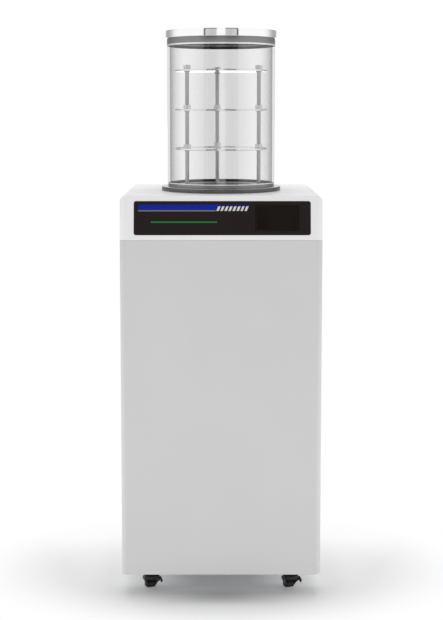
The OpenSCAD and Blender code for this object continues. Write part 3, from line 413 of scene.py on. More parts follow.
def cut_hole(piece, cutter):
    """Take one solid away from another, and throw the cutter away."""
    only(piece)
    hole = piece.modifiers.new("hole", "BOOLEAN")
    hole.operation = "DIFFERENCE"
    hole.object = cutter
    hole.solver = "EXACT"
    bpy.ops.object.modifier_apply(modifier="hole")
    bpy.data.objects.remove(cutter)


def copy_of(piece, x=0.0, y=0.0, z=0.0):
    """A copy with a mesh of its own, moved from the first one's place."""
    only(piece)
    bpy.ops.object.duplicate()
    copy = bpy.context.object
    copy.location += Vector((x, y, z))
    return copy


def settle(piece):
    """Move an object's place and turn into its mesh."""
    only(piece)
    bpy.ops.object.transform_apply(location=True, rotation=True, scale=True)


print("modelling helpers ready")

# %% Finishing a piece
def finish_piece(piece, name, material, body, instead_of=()):
    """Name a finished piece, give it a finish, and let it ride on a body of the machine."""
    settle(piece)
    bpy.ops.object.shade_smooth_by_angle(angle=math.radians(35))
    piece.name = name
    piece.data.name = name
    piece.data.materials.clear()
    piece.data.materials.append(material)
    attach(piece, body)
    if instead_of:
        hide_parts(*instead_of)


def replace_node(piece, name, material, node):
    """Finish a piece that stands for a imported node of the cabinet."""
    finish_piece(piece, name, material, "cabinet", [node])


def add_finish(piece, material, test):
    """Give a second finish to the faces whose middle passes a test."""
    piece.data.materials.append(material)
    for face in piece.data.polygons:
        if test(face.center):
            face.material_index = len(piece.data.materials) - 1


def axis_distance(place):
    return (place - chamber_centre).xy.length


def radius_of(node):
    """Half the width of a round node's box."""
    low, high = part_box(node)
    return (high.x - low.x) / 2


print("finishing helpers ready")

# %% The lathe
def turn_on_lathe(profile, centre=None, segments=192, cap_first=False, cap_last=False):
    """Turn a profile of (radius, height) points, in metres, round an upright axis.

    The first ring is a circle primitive. It is extruded and resized from point to point, as a potter pulls a wall.
    The two ends are bridged, or capped where a flat disc closes the form."""
    centre = centre or chamber_centre
    clear_selection()
    first_radius, first_height = profile[0]
    bpy.ops.mesh.primitive_circle_add(vertices=segments, radius=first_radius,
                                      location=(centre[0], centre[1], first_height))
    piece = bpy.context.object
    bpy.ops.object.mode_set(mode="EDIT")
    bpy.ops.mesh.select_all(action="SELECT")
    if cap_first:
        bpy.ops.mesh.edge_face_add()
        pick(piece, "EDGE", lambda middle: True)
    for (radius, height), (next_radius, next_height) in zip(profile, profile[1:]):
        grow = next_radius / radius
        bpy.ops.mesh.extrude_edges_move(TRANSFORM_OT_translate={"value": (0, 0, next_height - height)})
        bpy.ops.transform.resize(value=(grow, grow, 1), center_override=(centre[0], centre[1], next_height))
    if cap_last:
        bpy.ops.mesh.edge_face_add()
    if not cap_first and not cap_last:
        bpy.ops.mesh.select_non_manifold()
        bpy.ops.mesh.bridge_edge_loops()
    bpy.ops.mesh.select_all(action="SELECT")
    bpy.ops.mesh.remove_doubles(threshold=0.000001)
    bpy.ops.mesh.normals_make_consistent(inside=False)
    bpy.ops.object.mode_set(mode="OBJECT")
    return piece


print("lathe ready")

# %% [markdown]
# ## The lid
# The lid is one turned piece of stainless steel. A band the width of the tube sits on the rubber seal, and a heavier
# rim stands out over it. It is hollow underneath. The profile is pulled from the inner ceiling down, out, and up to
# the top, so the lathe closes it with two flat discs. A shallow groove parts the rim from the band. Two extra rings
# on the rim's wall keep it from looking bent near its rounded edges, which a mirror finish would show at once. The
# rim is polished, and the faces of the band take a second finish, a darker copy of the satin steel that is painted
# shade under the rim.

# %% Turn the lid
lid_low, lid_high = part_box("chamber_lid")
rim_radius = radius_of("chamber_lid")
seal_radius = radius_of("lid_seal")
bore_radius = seal_radius - 0.015
rim_height = 0.017
band_bottom = lid_low.z
band_top = lid_high.z - rim_height
lid_plate = 0.006
groove_depth = 0.0012
groove_height = 0.0012
lower_ring = 0.0006
upper_ring = 0.0032
lid_rounding = 0.0003
hairline = 0.0001

lid = turn_on_lathe([
    (bore_radius, lid_high.z - lid_plate),
    (bore_radius, band_bottom),
    (seal_radius, band_bottom),
    (seal_radius, band_top - groove_height),
    (seal_radius - groove_depth, band_top - groove_height),
    (seal_radius - groove_depth, band_top),
    (rim_radius, band_top),
    (rim_radius, band_top + lower_ring),
    (rim_radius, lid_high.z - upper_ring),
    (rim_radius, lid_high.z)], cap_first=True, cap_last=True)
round_edges(lid, lid_rounding, 2)
replace_node(lid, "lid_turned", polished_steel, "chamber_lid")
# The band's darker steel is painted shade under the rim
add_finish(lid, painted_shade_band_steel, lambda middle: middle.z < band_top - hairline)
print(f"lid {2000 * rim_radius:.0f} mm across, {len(lid.data.polygons)} faces")

# %% [markdown]
# ## The tube and its two rubber rings
# The tube is cast acrylic, 7 mm thick, with fire-polished ends. It stands in a rubber ring on the flange, and a
# second ring lies between it and the lid. Both rings have a lip that reaches inside the tube and keeps it central.
# A thin skin round the outside of each ring takes a steel finish: a light one on the upper ring, a painted highlight,
# and a grey one on the lower ring, a painted reflection. An extra ring near the tube's foot parts off the last few
# millimetres, which get a finish of their own in the next step.

# %% Turn the tube
tube_low, tube_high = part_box("chamber_tube")
tube_radius = radius_of("chamber_tube")
tube_wall = 0.007
tube_rounding = 0.001
bright_end = 0.0025
tube_inner = tube_radius - tube_wall
lip_radius = tube_inner - 0.0003
lip_height = 0.0015

tube = turn_on_lathe([(tube_inner, tube_low.z), (tube_radius, tube_low.z), (tube_radius, tube_low.z + bright_end),
                      (tube_radius, tube_high.z), (tube_inner, tube_high.z)])
round_edges(tube, tube_rounding, 4)
print(f"tube {2000 * tube_radius:.0f} mm, wall {1000 * tube_wall:.0f} mm")

# %% Turn the seal and the gasket
ring_chamfer = 0.001
# Widths of the skins that carry the painted highlight and the painted reflection
painted_highlight_skin = 0.0004
painted_reflection_skin = 0.0006
seal = turn_on_lathe([
    (bore_radius, tube_high.z - lip_height + ring_chamfer), (bore_radius + ring_chamfer, tube_high.z - lip_height),
    (lip_radius, tube_high.z - lip_height), (lip_radius, tube_high.z),
    (seal_radius, tube_high.z), (seal_radius, band_bottom), (bore_radius, band_bottom)])
round_edges(seal, 0.0006, 3)
replace_node(seal, "lid_seal_turned", black_rubber, "lid_seal")
# A thin skin round the seal's outside takes the light steel: a painted highlight
add_finish(seal, painted_highlight_steel, lambda middle: axis_distance(middle) > seal_radius - painted_highlight_skin)

gasket_low, gasket_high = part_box("base_gasket")
gasket_radius = radius_of("base_gasket")
gasket = turn_on_lathe([
    (bore_radius, gasket_low.z), (gasket_radius, gasket_low.z), (gasket_radius, tube_low.z),
    (lip_radius, tube_low.z), (lip_radius, gasket_high.z), (bore_radius + ring_chamfer, gasket_high.z),
    (bore_radius, gasket_high.z - ring_chamfer)])
round_edges(gasket, 0.0007, 3)
replace_node(gasket, "base_gasket_turned", black_rubber, "base_gasket")
# A thin skin round the gasket's outside takes the grey steel: a painted reflection
add_finish(gasket, painted_reflection_steel, lambda middle: axis_distance(middle) > gasket_radius - painted_reflection_skin)
print(f"rings {2000 * seal_radius:.0f} and {2000 * gasket_radius:.0f} mm across")

# %% [markdown]
# ## Clear acrylic
# Seen square on, a clear wall dims what lies behind it only a little. Seen at a grazing angle, most of the light is
# turned aside, so a tube darkens towards the edge of its bore, while the wall itself, outside the bore, stays bright.
# A transparent shader whose tint follows Layer Weight's Facing does this without the long wait that true refraction
# brings, and it bakes into an ordinary see-through material. The inner wall carries the darkening. The outer wall
# carries the gloss, and only on its outside, so each has a finish of its own. Neither the tints nor the gloss change
# evenly with Facing: their dips and rises paint upright light and dark bands, which are painted reflections. Near the
# middle the gloss is dropped in two upright bands, a painted reflection of the dark gaps between the lamps and the
# camera. The foot of the outer wall is glossy all over, as the end of a clear tube lights up.

# %% Three finishes for the tube
def clear_wall(name, tints, gloss=((0, 0), (1, 0))):
    """A see-through wall: tints and gloss go from face-on to grazing, against the root of Facing."""
    material = plain_finish(name, (255, 255, 255), 0.03, metallic=1.0)
    shader_of(material).inputs["Base Color"].default_value = (0.95, 0.95, 0.95, 1)
    vary_roughness(material, object_noise(material, 40, 3), 0.02, 0.05)
    add_relief(material, object_noise(material, 22, 2), 0.0004, 0.12)
    facing = add_node(material, "ShaderNodeLayerWeight", Blend=0.5)
    slant = calculate(material, "SQRT", facing.outputs["Facing"])
    see_through = add_node(material, "ShaderNodeBsdfTransparent")
    connect(material, grey_ramp(material, slant, tints), see_through.inputs["Color"])
    outside = calculate(material, "SUBTRACT", 1.0, add_node(material, "ShaderNodeNewGeometry").outputs["Backfacing"])
    share = calculate(material, "MULTIPLY", grey_ramp(material, slant, gloss), outside)
    wall = blend(material, share, see_through.outputs["BSDF"], shader_of(material).outputs["BSDF"])
    connect(material, wall, surface_of(material))
    return material


# The dips and rises in both ramps are painted reflections: upright light and dark bands
outer_wall = clear_wall("acrylic_outer",
                        [(0.0, 0.99), (0.79, 0.98), (0.82, 0.92), (0.88, 0.93), (0.94, 0.96), (1.0, 1.0)],
                        [(0.0, 0.14), (0.07, 0.14), (0.09, 0.01), (0.16, 0.02), (0.23, 0.06), (0.32, 0.11),
                         (0.55, 0.12), (0.7, 0.14), (0.82, 0.18), (0.9, 0.28), (1.0, 0.6)])
# The dips and rises in this tint are a painted reflection of upright bands
inner_wall = clear_wall("acrylic_inner",
                        [(0.0, 0.88), (0.03, 0.872), (0.06, 0.85), (0.11, 0.822), (0.17, 0.822), (0.22, 0.845),
                         (0.31, 0.872), (0.37, 0.894), (0.44, 0.915), (0.55, 0.925), (0.61, 0.908), (0.65, 0.876),
                         (0.70, 0.843), (0.75, 0.805), (0.78, 0.77), (0.81, 0.73), (0.84, 0.694), (0.89, 0.648),
                         (0.92, 0.655), (1.0, 0.70)])
end_wall = clear_wall("acrylic_end", [(0.0, 0.9), (1.0, 0.9)], [(0.0, 0.7), (1.0, 0.9)])
print("3 clear finishes")

# %% Finish the tube's walls
replace_node(tube, "chamber_tube_turned", outer_wall, "chamber_tube")
add_finish(tube, inner_wall, lambda middle: axis_distance(middle) < tube_inner + tube_rounding / 2)
add_finish(tube, end_wall, lambda middle: middle.z < tube_low.z + bright_end
           and axis_distance(middle) > tube_radius - tube_rounding)
print(sum(face.material_index == 1 for face in tube.data.polygons), "faces of the inner wall")

# %% [markdown]
# ## The flange and the rack's foot
# The flange is a flat ring of stainless steel that lies over the mouth of the cold trap. Its edges are only broken,
# not rounded, so they catch a thin bright line. Its top is satin, and its outer wall takes a darker copy of the same
# steel, which is painted shade. The tray rack stands on a thin ring of its own, which keeps its imported shape.

# %% Turn the flange
flange_low, flange_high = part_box("chamber_flange")
flange_radius = radius_of("chamber_flange")
trap_radius = 0.100
painted_shade_skin = 0.0002
flange = turn_on_lathe([
    (trap_radius, flange_low.z), (flange_radius, flange_low.z),
    (flange_radius, flange_high.z), (trap_radius, flange_high.z)])
round_edges(flange, 0.0009, 3)
replace_node(flange, "chamber_flange_turned", satin_steel, "chamber_flange")
# A thin skin of the outer wall takes the darker steel: painted shade
add_finish(flange, painted_shade_steel, lambda middle: axis_distance(middle) > flange_radius - painted_shade_skin)
print(f"flange {2000 * flange_radius:.0f} mm across")

# %% [markdown]
# ## Trays
# Each tray is a spun steel disc with a low rolled rim and three holes, through which the rack's rods pass. One tray
# is turned on the lathe, its holes are cut with three round cutters, and it is copied to the other two heights.

# %% Turn one tray and copy it
tray_low, tray_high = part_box("tray_1")
tray_radius = radius_of("tray_1")
tray_sheet = 0.0015
rod_ring_radius = 0.0964
first_turn = 95.4
rod_turns = [math.radians(first_turn + 120 * step) for step in range(3)]
rod_hole_radius = 0.0048
rod_places = [(chamber_centre.x + rod_ring_radius * math.cos(turn),
               chamber_centre.y + rod_ring_radius * math.sin(turn)) for turn in rod_turns]
tray_inner = tray_radius - tray_sheet
tray_floor = tray_low.z + tray_sheet
tray_corner = 0.0005
corner_slope = 0.003

tray = turn_on_lathe([
    (tray_inner - corner_slope, tray_floor), (tray_inner, tray_floor + tray_corner), (tray_inner, tray_high.z),
    (tray_radius, tray_high.z), (tray_radius, tray_low.z + tray_corner), (tray_radius - tray_corner, tray_low.z)],
    cap_first=True, cap_last=True)
round_edges(tray, 0.0004, 3, 60)

for x, y in rod_places:
    clear_selection()
    bpy.ops.mesh.primitive_cylinder_add(vertices=48, radius=rod_hole_radius, depth=0.02, location=(x, y, tray_low.z))
    cut_hole(tray, bpy.context.object)

trays = [tray] + [copy_of(tray, z=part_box(node)[0].z - tray_low.z) for node in ("tray_2", "tray_3")]
for number, piece in enumerate(trays, 1):
    replace_node(piece, f"tray_{number}_spun", tray_steel, f"tray_{number}")
print(f"3 trays, {2000 * tray_radius:.0f} mm across, {len(tray.data.polygons)} faces each")

# %% [markdown]
# ## Rods and collars
# Three steel rods carry the trays. Each rod has a wide shoulder under every tray and a chamfer at both ends, and
# above every tray sits a collar. A collar is a short turned ring with a radial hole for its set screw. One rod and
# one collar are made, then copied round the chamber and up the rods.

# %% Turn one rod and copy it round
rod_low, rod_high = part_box("rack_rods")
rod_radius = 0.0045
shoulder_radius = 0.007
shoulder_height = 0.002
shoulder_tops = [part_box(node)[0].z for node in ("tray_3", "tray_2", "tray_1")]
chamfer = 0.0008

rod_profile = [(rod_radius - chamfer, rod_low.z), (rod_radius, rod_low.z + chamfer)]
for top in shoulder_tops:
    rod_profile += [(rod_radius, top - shoulder_height), (shoulder_radius, top - shoulder_height),
                    (shoulder_radius, top), (rod_radius, top)]
rod_profile += [(rod_radius, rod_high.z - chamfer), (rod_radius - chamfer, rod_high.z)]
rod = turn_on_lathe(rod_profile, centre=rod_places[0], segments=48, cap_first=True, cap_last=True)
round_edges(rod, 0.0003, 2, 50)

first_x, first_y = rod_places[0]
rods = [rod] + [copy_of(rod, x - first_x, y - first_y) for x, y in rod_places[1:]]
for number, piece in enumerate(rods, 1):
    replace_node(piece, f"rack_rod_{number}", rack_steel, "rack_rods")
print(f"{len(rods)} rods, {1000 * (rod_high.z - rod_low.z):.0f} mm long")

# %% Turn one collar
collar_radius = 0.008
collar_height = 0.012
collar_bore = rod_radius + 0.00005
collar_foot = shoulder_tops[0] + tray_sheet
collar = turn_on_lathe([
    (collar_bore, collar_foot), (collar_radius, collar_foot),
    (collar_radius, collar_foot + collar_height), (collar_bore, collar_foot + collar_height)],
    centre=rod_places[0], segments=48)
round_edges(collar, 0.0007, 3)

outward = rod_turns[0]
screw_radius = 0.0016
screw_length = 0.006
screw_reach = 0.009
clear_selection()
bpy.ops.mesh.primitive_cylinder_add(
    vertices=24, radius=screw_radius, depth=screw_length, rotation=(0, math.pi / 2, outward),
    location=(first_x + screw_reach * math.cos(outward), first_y + screw_reach * math.sin(outward),
              collar_foot + collar_height / 2))
cut_hole(collar, bpy.context.object)
print(f"collar {2000 * collar_radius:.0f} mm across")

# %% Copy the collar to every rod and tray
collars = []
for rod_number, turn in enumerate(rod_turns, 1):
    for tray_number, foot in enumerate(shoulder_tops, 1):
        copy = copy_of(collar)
        settle(copy)
        bpy.ops.transform.translate(value=(0, 0, foot - shoulder_tops[0]))
        bpy.context.scene.cursor.location = (chamber_centre.x, chamber_centre.y, 0)
        bpy.ops.object.origin_set(type="ORIGIN_CURSOR")
        copy.rotation_euler.z = turn - rod_turns[0]
        replace_node(copy, f"rack_collar_{rod_number}_{tray_number}", collar_steel, "rack_collars")
        collars.append(copy)
bpy.data.objects.remove(collar)
bpy.context.scene.cursor.location = (0, 0, 0)
print(f"{len(collars)} collars, {len(collars[0].data.polygons)} faces each")

# %% [markdown]
# ## The console
# The console is a black plate with rounded corners, set in the leaning fascia. It carries a touch screen on the right
# and a few printed marks on the left. Print is a thin layer of ink, so each mark is a plate a tenth of a millimetre
# thick. All of them are laid out in the console's own plane, with x to the right and y up the slope, and then tilted
# into place together.

# %% The console's own plane
lean = math.radians(8.1302)
console_tall = 0.075
console_proud = 0.0005
fascia_height = 0.098
bend_height = deck_height - fascia_height
slope_middle = 0.0493475
console_middle = Vector((0, front_face + slope_middle * math.sin(lean) - console_proud * math.cos(lean),
                         bend_height + slope_middle * math.cos(lean) + console_proud * math.sin(lean)))
ink_thickness = 0.00012


def lay_on_console(piece):
    """Tilt a piece that was made flat (x right, y up, z out) onto the console's face."""
    piece.rotation_euler = (math.radians(90) - lean, 0, 0)
    piece.location = console_middle
    settle(piece)


def printed_bar(left, right, below_top, above_bottom, slant=0.0):
    """A thin bar of ink between two x places and two distances below the console's top edge, in millimetres.

    slant moves its upper right corner to the right of its lower right one."""
    clear_selection()
    bpy.ops.mesh.primitive_plane_add(size=0.001)
    bar = bpy.context.object
    bpy.ops.object.mode_set(mode="EDIT")
    bpy.ops.mesh.select_all(action="SELECT")
    width = right - left
    height = above_bottom - below_top
    bpy.ops.transform.resize(value=(width, height, 1), center_override=(0, 0, 0))
    middle = (left + right) / 2000
    bpy.ops.transform.translate(value=(middle, console_tall / 2 - (below_top + above_bottom) / 2000, 0))
    top_edge = console_tall / 2 - below_top / 1000
    pick(bar, "VERT", lambda place: place.x > middle and abs(place.y - top_edge) < tolerance)
    bpy.ops.transform.translate(value=(slant / 1000, 0, 0))
    bpy.ops.mesh.select_all(action="SELECT")
    bpy.ops.mesh.extrude_region_move(TRANSFORM_OT_translate={"value": (0, 0, ink_thickness)})
    bpy.ops.mesh.select_all(action="SELECT")
    bpy.ops.mesh.normals_make_consistent(inside=False)
    bpy.ops.object.mode_set(mode="OBJECT")
    return bar


print("console face at", [round(c, 4) for c in console_middle])

# %% Inks
def ink(name, colour):
    material = plain_finish(name, colour, 0.44, specular=0.08)
    vary_roughness(material, object_noise(material, 300, 2), 0.40, 0.50)
    add_relief(material, object_noise(material, 2600, 2), 0.000008, 0.5)
    return material


blue_ink = ink("blue_ink", (12, 34, 152))
grey_ink = ink("grey_ink", (108, 106, 105))
white_ink = ink("white_ink", (206, 206, 206))
green_ink = ink("green_ink", (34, 112, 60))


def print_mark(bar, name, material):
    lay_on_console(bar)
    finish_piece(bar, name, material, "cabinet")


print_mark(printed_bar(-183.9, -11.4, 7.7, 18.8, slant=6.8), "print_blue_strip", blue_ink)
print_mark(printed_bar(-183.5, -12.0, 19.6, 22.8), "print_grey_line", grey_ink)
print_mark(printed_bar(-155.6, -8.8, 44.8, 48.0), "print_green_line", green_ink)
print("3 printed lines")

# %% Eight slashes, each with a blue tip
slash_pitch = 8.86
slash_width = 5.2
slash_lean = 0.42
slash_count = 8
first_slash = -10.6


def leaning_bar(left, below_top, above_bottom):
    """A bar of ink with both ends leaning to the right, its lower left corner at left."""
    shift = slash_lean * (above_bottom - below_top)
    bar = printed_bar(left, left + slash_width, below_top, above_bottom, slant=shift)
    only(bar)
    bpy.ops.object.mode_set(mode="EDIT")
    top = console_tall / 2 - below_top / 1000
    pick(bar, "VERT", lambda place: abs(place.y - top) < tolerance and place.x * 1000 < left + 1)
    bpy.ops.transform.translate(value=(shift / 1000, 0, 0))
    bpy.ops.object.mode_set(mode="OBJECT")
    return bar


slash_bottom, slash_top, tip_top = 21.6, 11.5, 8.0
slash = leaning_bar(first_slash, slash_top, slash_bottom)
tip = leaning_bar(first_slash + slash_lean * (slash_bottom - slash_top), tip_top, slash_top)
for model, title, colour in ((slash, "print_slash", white_ink), (tip, "print_slash_tip", blue_ink)):
    for number in range(1, slash_count + 1):
        copy = copy_of(model, x=(number - 1) * slash_pitch / 1000)
        settle(copy)
        print_mark(copy, f"{title}_{number}", colour)
    bpy.data.objects.remove(model)
print(slash_count, "slashes")

# %% [markdown]
# ## The touch screen
# The screen is a black glass plate set in the console's window, with its module behind. The glass is a shade darker
# than the console, its edge is ground, and a fine step runs round its picture area. It starts as a box; its front is
# bevelled and inset, and its back is drawn out to the module's size.

# %% Sizes of the screen
screen_left, screen_right = 0.0755, 0.1725
screen_height = 0.056
screen_gap = 0.0001
glass_depth = 0.0055
module_width = 0.109
module_height = 0.068
module_depth = 0.010
ground_edge = 0.0003
glass_border = 0.004
step_width = 0.0003
step_depth = 0.00008
screen_width = screen_right - screen_left
screen_middle = (screen_left + screen_right) / 2
print(f"glass {1000 * screen_width:.0f} x {1000 * screen_height:.0f} mm")

# %% Shape the glass
clear_selection()
bpy.ops.mesh.primitive_cube_add(size=1)
glass = bpy.context.object
bpy.ops.object.mode_set(mode="EDIT")
bpy.ops.mesh.select_all(action="SELECT")
bpy.ops.transform.resize(value=(screen_width - 2 * screen_gap, screen_height - 2 * screen_gap, glass_depth),
                         center_override=(0, 0, 0))
bpy.ops.transform.translate(value=(screen_middle, 0, -glass_depth / 2))
pick(glass, "FACE", lambda middle, normal: normal.z > 0.9)
bpy.ops.mesh.bevel(offset=ground_edge, segments=3, affect="EDGES")
pick(glass, "FACE", lambda middle, normal: normal.z > 0.99)
bpy.ops.mesh.inset(thickness=glass_border)
bpy.ops.mesh.inset(thickness=step_width, depth=-step_depth)
pick(glass, "FACE", lambda middle, normal: normal.z < -0.9)
bpy.ops.mesh.extrude_region_move(TRANSFORM_OT_translate={"value": (0, 0, 0)})
bpy.ops.transform.resize(value=(module_width / screen_width, module_height / screen_height, 1),
                         center_override=(screen_middle, 0, -glass_depth))
bpy.ops.mesh.extrude_region_move(TRANSFORM_OT_translate={"value": (0, 0, -module_depth)})
bpy.ops.object.mode_set(mode="OBJECT")
lay_on_console(glass)
replace_node(glass, "touch_screen_glass", screen_glass, "touch_screen")
print(len(glass.data.polygons), "faces")

# %% [markdown]
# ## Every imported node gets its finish
# The sheet-metal panels, the refrigeration set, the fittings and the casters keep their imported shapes. A table from
# material slot to finish covers all of them. The panels and the fittings that are seen from close by also get a live
# Bevel that breaks their sharp edges by a few tenths of a millimetre, because an edge without any rounding never
# catches the light.

# %% Finishes by slot
finish_of_slot = {
    "white_paint": housing_white, "galvanised_steel": galvanised, "console_black": console_black,
    "screen": screen_glass, "circuit_board": board_green, "zinc": zinc_plate, "compressor_black": shell_black,
    "black_rubber": black_rubber, "bare_aluminium": fin_aluminium, "motor_grey": motor_grey,
    "fan_plastic": fan_plastic, "copper": copper_tube, "foam": foam_yellow, "satin_stainless": port_steel,
    "gauge_steel": port_steel, "brass": turned_brass, "black_plastic": black_plastic, "hose": silicone_hose,
    "red_handle": handle_red, "red_rocker": rocker_red, "box_grey": box_grey, "clear_acrylic": outer_wall,
    "polished_stainless": polished_steel, "caster_black": caster_black, "wheel_black": wheel_rubber}
finish_of_node = {"front_panel": panel_grey, "trap_cup": satin_steel, "rack_base": satin_steel,
                  "rack_rods": rack_steel, "rack_collars": collar_steel}
softened = {
    "front_panel": 0.0004, "top_housing": 0.0004, "left_side_panel": 0.0004, "right_side_panel": 0.0004,
    "rear_panel": 0.0003, "console_plate": 0.0004, "power_inlet": 0.0004, "power_switch": 0.0003,
    "drain_lever": 0.0006, "vacuum_port": 0.0003, "base_plate": 0.0004}
print(len(finish_of_slot), "slots,", len(finish_of_node), "nodes of their own")

# %% Give every node its finish
def break_edges(shape, width):
    """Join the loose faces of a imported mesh, so that it has edges, and round them; both stay live."""
    weld = shape.modifiers.new("weld", "WELD")
    weld.merge_threshold = tolerance
    bevel = shape.modifiers.new("broken_edges", "BEVEL")
    bevel.width = width
    bevel.segments = 2
    bevel.limit_method = "ANGLE"
    bevel.angle_limit = math.radians(40)
    bevel.use_clamp_overlap = True


for node, shape in nodes.items():
    finish = finish_of_node.get(node, finish_of_slot[slot_of_node[node]])
    shape.data.materials.clear()
    shape.data.materials.append(finish)
    if node in softened:
        break_edges(shape, softened[node])
print(len(nodes), "nodes finished,", len(softened), "with broken edges")

# %% [markdown]
# ## Floor
# The machine stands in a white studio. The floor has to carry its soft shadow near the casters, and run into pure
# white further out. So the floor's material is a pale diffuse one round the machine, and blends into plain white
# light with the distance from it. The distance is measured on a stretched oval, because the shadow is wider than it
# is deep.

# %% Floor paint and distance
floor_size = 14
clear_selection()
bpy.ops.mesh.primitive_plane_add(size=floor_size, location=(0, 0, 0))
floor = bpy.context.object
floor.name = "studio_floor"
floor_paint = plain_finish("studio_floor", (238, 238, 238), 0.9, specular=0.0)
floor_place = object_place(floor_paint)
oval = add_node(floor_paint, "ShaderNodeMapping", Location=(0, 0.04, 0), Scale=(0.50, 0.80, 0))
connect(floor_paint, floor_place, oval.inputs["Vector"])
distance = vector_length(floor_paint, oval.outputs["Vector"])
fade = spread(floor_paint, distance, 0.165, 0.31, smooth=True)
# The paint is lighter round the machine's middle than further out: painted light that lightens the shadow under it
painted_light_tone = spread(floor_paint, distance, 0.12, 0.19, 0.92, 0.82)
print("floor", floor_size, "m")

# %% [markdown]
# Three patches of painted light and shade lie on the floor. At both sides of the machine the floor runs into white
# light towards the back, painted light where its shadow would fall. In front of its middle the paint is darker, a
# painted shadow, and under both ends of the machine the paint glows, a painted light. Each of these patches is a
# product of smooth steps: one or two sideways from the middle, and one or two from front to back.

# %% Painted light and shadow patches
floor_axes = add_node(floor_paint, "ShaderNodeSeparateXYZ")
connect(floor_paint, floor_place, floor_axes.inputs["Vector"])
aside = calculate(floor_paint, "ABSOLUTE", floor_axes.outputs["X"])
back = floor_axes.outputs["Y"]


def floor_patch(*steps):
    """The product of smooth steps, each the value it follows, its start and end, and its two levels."""
    return calculate(floor_paint, "MULTIPLY", *(spread(floor_paint, *step, smooth=True) for step in steps))


# Painted light beside the back, a painted shadow in front, and a painted glow under both ends
painted_light_beside_back = floor_patch((aside, 0.18, 0.25, 0.0, 0.9), (back, -0.10, 0.20))
shade = floor_patch((aside, 0.0, 0.20, 0.39, 0.0), (back, -0.18, -0.225), (back, -0.295, -0.235))
painted_glow = floor_patch((aside, 0.05, 0.17, 0.05, 0.2), (aside, 0.20, 0.27, 1.0, 0.0), (back, -0.215, -0.14))
print("3 patches on the floor")

# %% Join paint and white light
paint = shader_of(floor_paint)
# The painted shadow darkens the paint, and the painted glow lights it from within
unshaded = calculate(floor_paint, "SUBTRACT", 1.0, shade)
connect(floor_paint, calculate(floor_paint, "MULTIPLY", painted_light_tone, unshaded), paint.inputs["Base Color"])
paint.inputs["Emission Color"].default_value = (1, 1, 1, 1)
connect(floor_paint, painted_glow, paint.inputs["Emission Strength"])
white_light = add_node(floor_paint, "ShaderNodeEmission", Color=(1, 1, 1, 1), Strength=1.0)
whiteness = calculate(floor_paint, "MAXIMUM", fade, painted_light_beside_back)
lit_floor = blend(floor_paint, whiteness, paint.outputs["BSDF"], white_light.outputs["Emission"])
connect(floor_paint, lit_floor, surface_of(floor_paint))
floor.data.materials.append(floor_paint)
print("floor finished with", floor_paint.name)

# %% [markdown]
# ## The studio round the machine
# The world is white to the camera, and a softer level to paint and plastic. Polished steel shows nothing but what it
# mirrors, so gloss sees a room of its own: a white card behind the camera, a greyer stretch on both sides of it that
# ends in a narrow black gap, white walls at the sides, and a darker corner before the bright wall at the back. High
# up there are two dark gaps between the lamps, and low down behind the machine there is a brighter card. All of this
# follows the bearing of a direction, which is 0 straight behind the camera and 1 straight behind the machine, round
# either side.

# %% Bearings in the room
world = bpy.data.worlds.new("studio")
bpy.context.scene.world = world
world.use_nodes = True
world.node_tree.nodes.clear()
direction = add_node(world, "ShaderNodeSeparateXYZ")
connect(world, add_node(world, "ShaderNodeTexCoord").outputs["Generated"], direction.inputs["Vector"])
sideways = calculate(world, "ABSOLUTE", direction.outputs["X"])
forwards = calculate(world, "MULTIPLY", direction.outputs["Y"], -1.0)
upwards = direction.outputs["Z"]
bearing = calculate(world, "DIVIDE", calculate(world, "ARCTAN2", sideways, forwards), math.pi)


def round_the_room(steps):
    """Grey by bearing, through (degrees, grey) steps from 0 behind the camera to 180 behind the machine."""
    return grey_ramp(world, bearing, [(degrees / 180, grey) for degrees, grey in steps])


mirrored_grey = round_the_room([
    (0, 1.0), (8, 1.0), (10, 0.56), (22, 0.56), (29, 0.65), (31.5, 0.69), (32.7, 0.05), (34.7, 0.05), (36.5, 1.0),
    (100, 1.0), (112, 0.88), (122, 0.63), (133, 0.44), (146, 0.40), (154, 0.4), (164, 0.7), (170, 0.85), (180, 1.0)])
print("room by bearing ready")

# %% Dark gaps high up, a bright card low down
high_up = spread(world, upwards, 0.15, 0.35, 0.0, 0.75)
gaps = round_the_room([(0, 0.0), (8, 0.0), (10, 1.0), (34, 1.0), (38, 0.0), (180, 0.0)])
dimmed = calculate(world, "MULTIPLY", high_up, gaps)
low_down = spread(world, upwards, -0.002, -0.012, 0.0, 0.6)
behind = calculate(world, "GREATER_THAN", bearing, 0.9)
card = calculate(world, "MULTIPLY", low_down, behind)
mirror_strength = calculate(world, "SUBTRACT", calculate(world, "ADD", card, 1.0), dimmed)
print("2 gaps and a card")

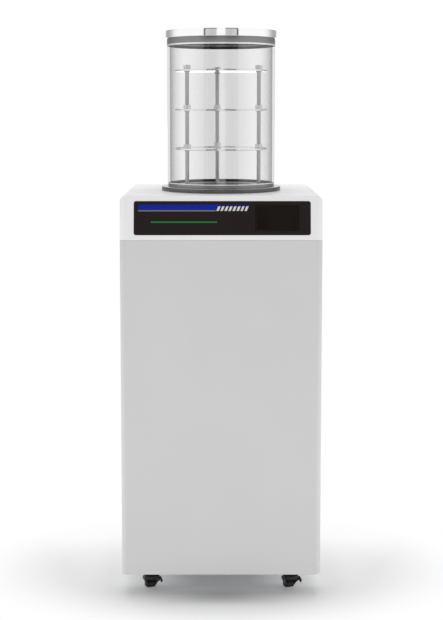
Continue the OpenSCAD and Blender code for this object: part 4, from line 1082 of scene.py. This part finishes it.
# %% What each kind of ray meets
room_light = 0.80
plain_room = add_node(world, "ShaderNodeBackground", Color=(1, 1, 1, 1), Strength=room_light)
mirror_room = add_node(world, "ShaderNodeBackground")
connect(world, mirrored_grey, mirror_room.inputs["Color"])
connect(world, mirror_strength, mirror_room.inputs["Strength"])
white_back = add_node(world, "ShaderNodeBackground", Color=(1, 1, 1, 1), Strength=1.0)
ray = add_node(world, "ShaderNodeLightPath").outputs
lit_room = blend(world, ray["Is Glossy Ray"], plain_room.outputs["Background"], mirror_room.outputs["Background"])
seen = calculate(world, "MAXIMUM", ray["Is Camera Ray"], ray["Is Transmission Ray"])
whole_world = blend(world, seen, lit_room, white_back.outputs["Background"])
connect(world, whole_world, add_node(world, "ShaderNodeOutputWorld").inputs["Surface"])
print("world at", room_light)

# %% [markdown]
# ## Lamps
# One wide soft lamp hangs above the machine, a little behind it. It lifts the deck and the fascia over the front
# panel and lays a short shadow in front of the casters. A low softbox in front keeps the foot of the front panel as
# light as its top. Two small, faint ones with a narrow beam stand at the sides and lighten the rounded corners. None
# of the four shows in the polished steel, which mirrors only the room.

# %% Softboxes
def softbox(name, place, aim, width, height, watts, beam=180):
    """A rectangular lamp at one place that looks at another, with a beam in degrees."""
    data = bpy.data.lights.new(name, "AREA")
    data.shape = "RECTANGLE"
    data.size = width
    data.size_y = height
    data.energy = watts
    data.spread = math.radians(beam)
    lamp = bpy.data.objects.new(name, data)
    bpy.context.scene.collection.objects.link(lamp)
    lamp.location = place
    lamp.rotation_euler = (Vector(aim) - Vector(place)).to_track_quat("-Z", "Y").to_euler()
    lamp.visible_glossy = False


softbox("overhead_softbox", (0, 0.45, 3.0), (0, 0, 0.6), 2.2, 1.6, 24)
softbox("left_softbox", (-2.2, -0.2, 0.4), (0, -0.1, 0.3), 1.0, 0.8, 0.8, beam=40)
softbox("right_softbox", (2.2, -0.2, 0.4), (0, -0.1, 0.3), 1.0, 0.8, 0.8, beam=40)
softbox("low_softbox", (0, -2.4, 0.15), (0, 0, 0.2), 1.6, 0.4, 5.2)
print("4 softboxes")
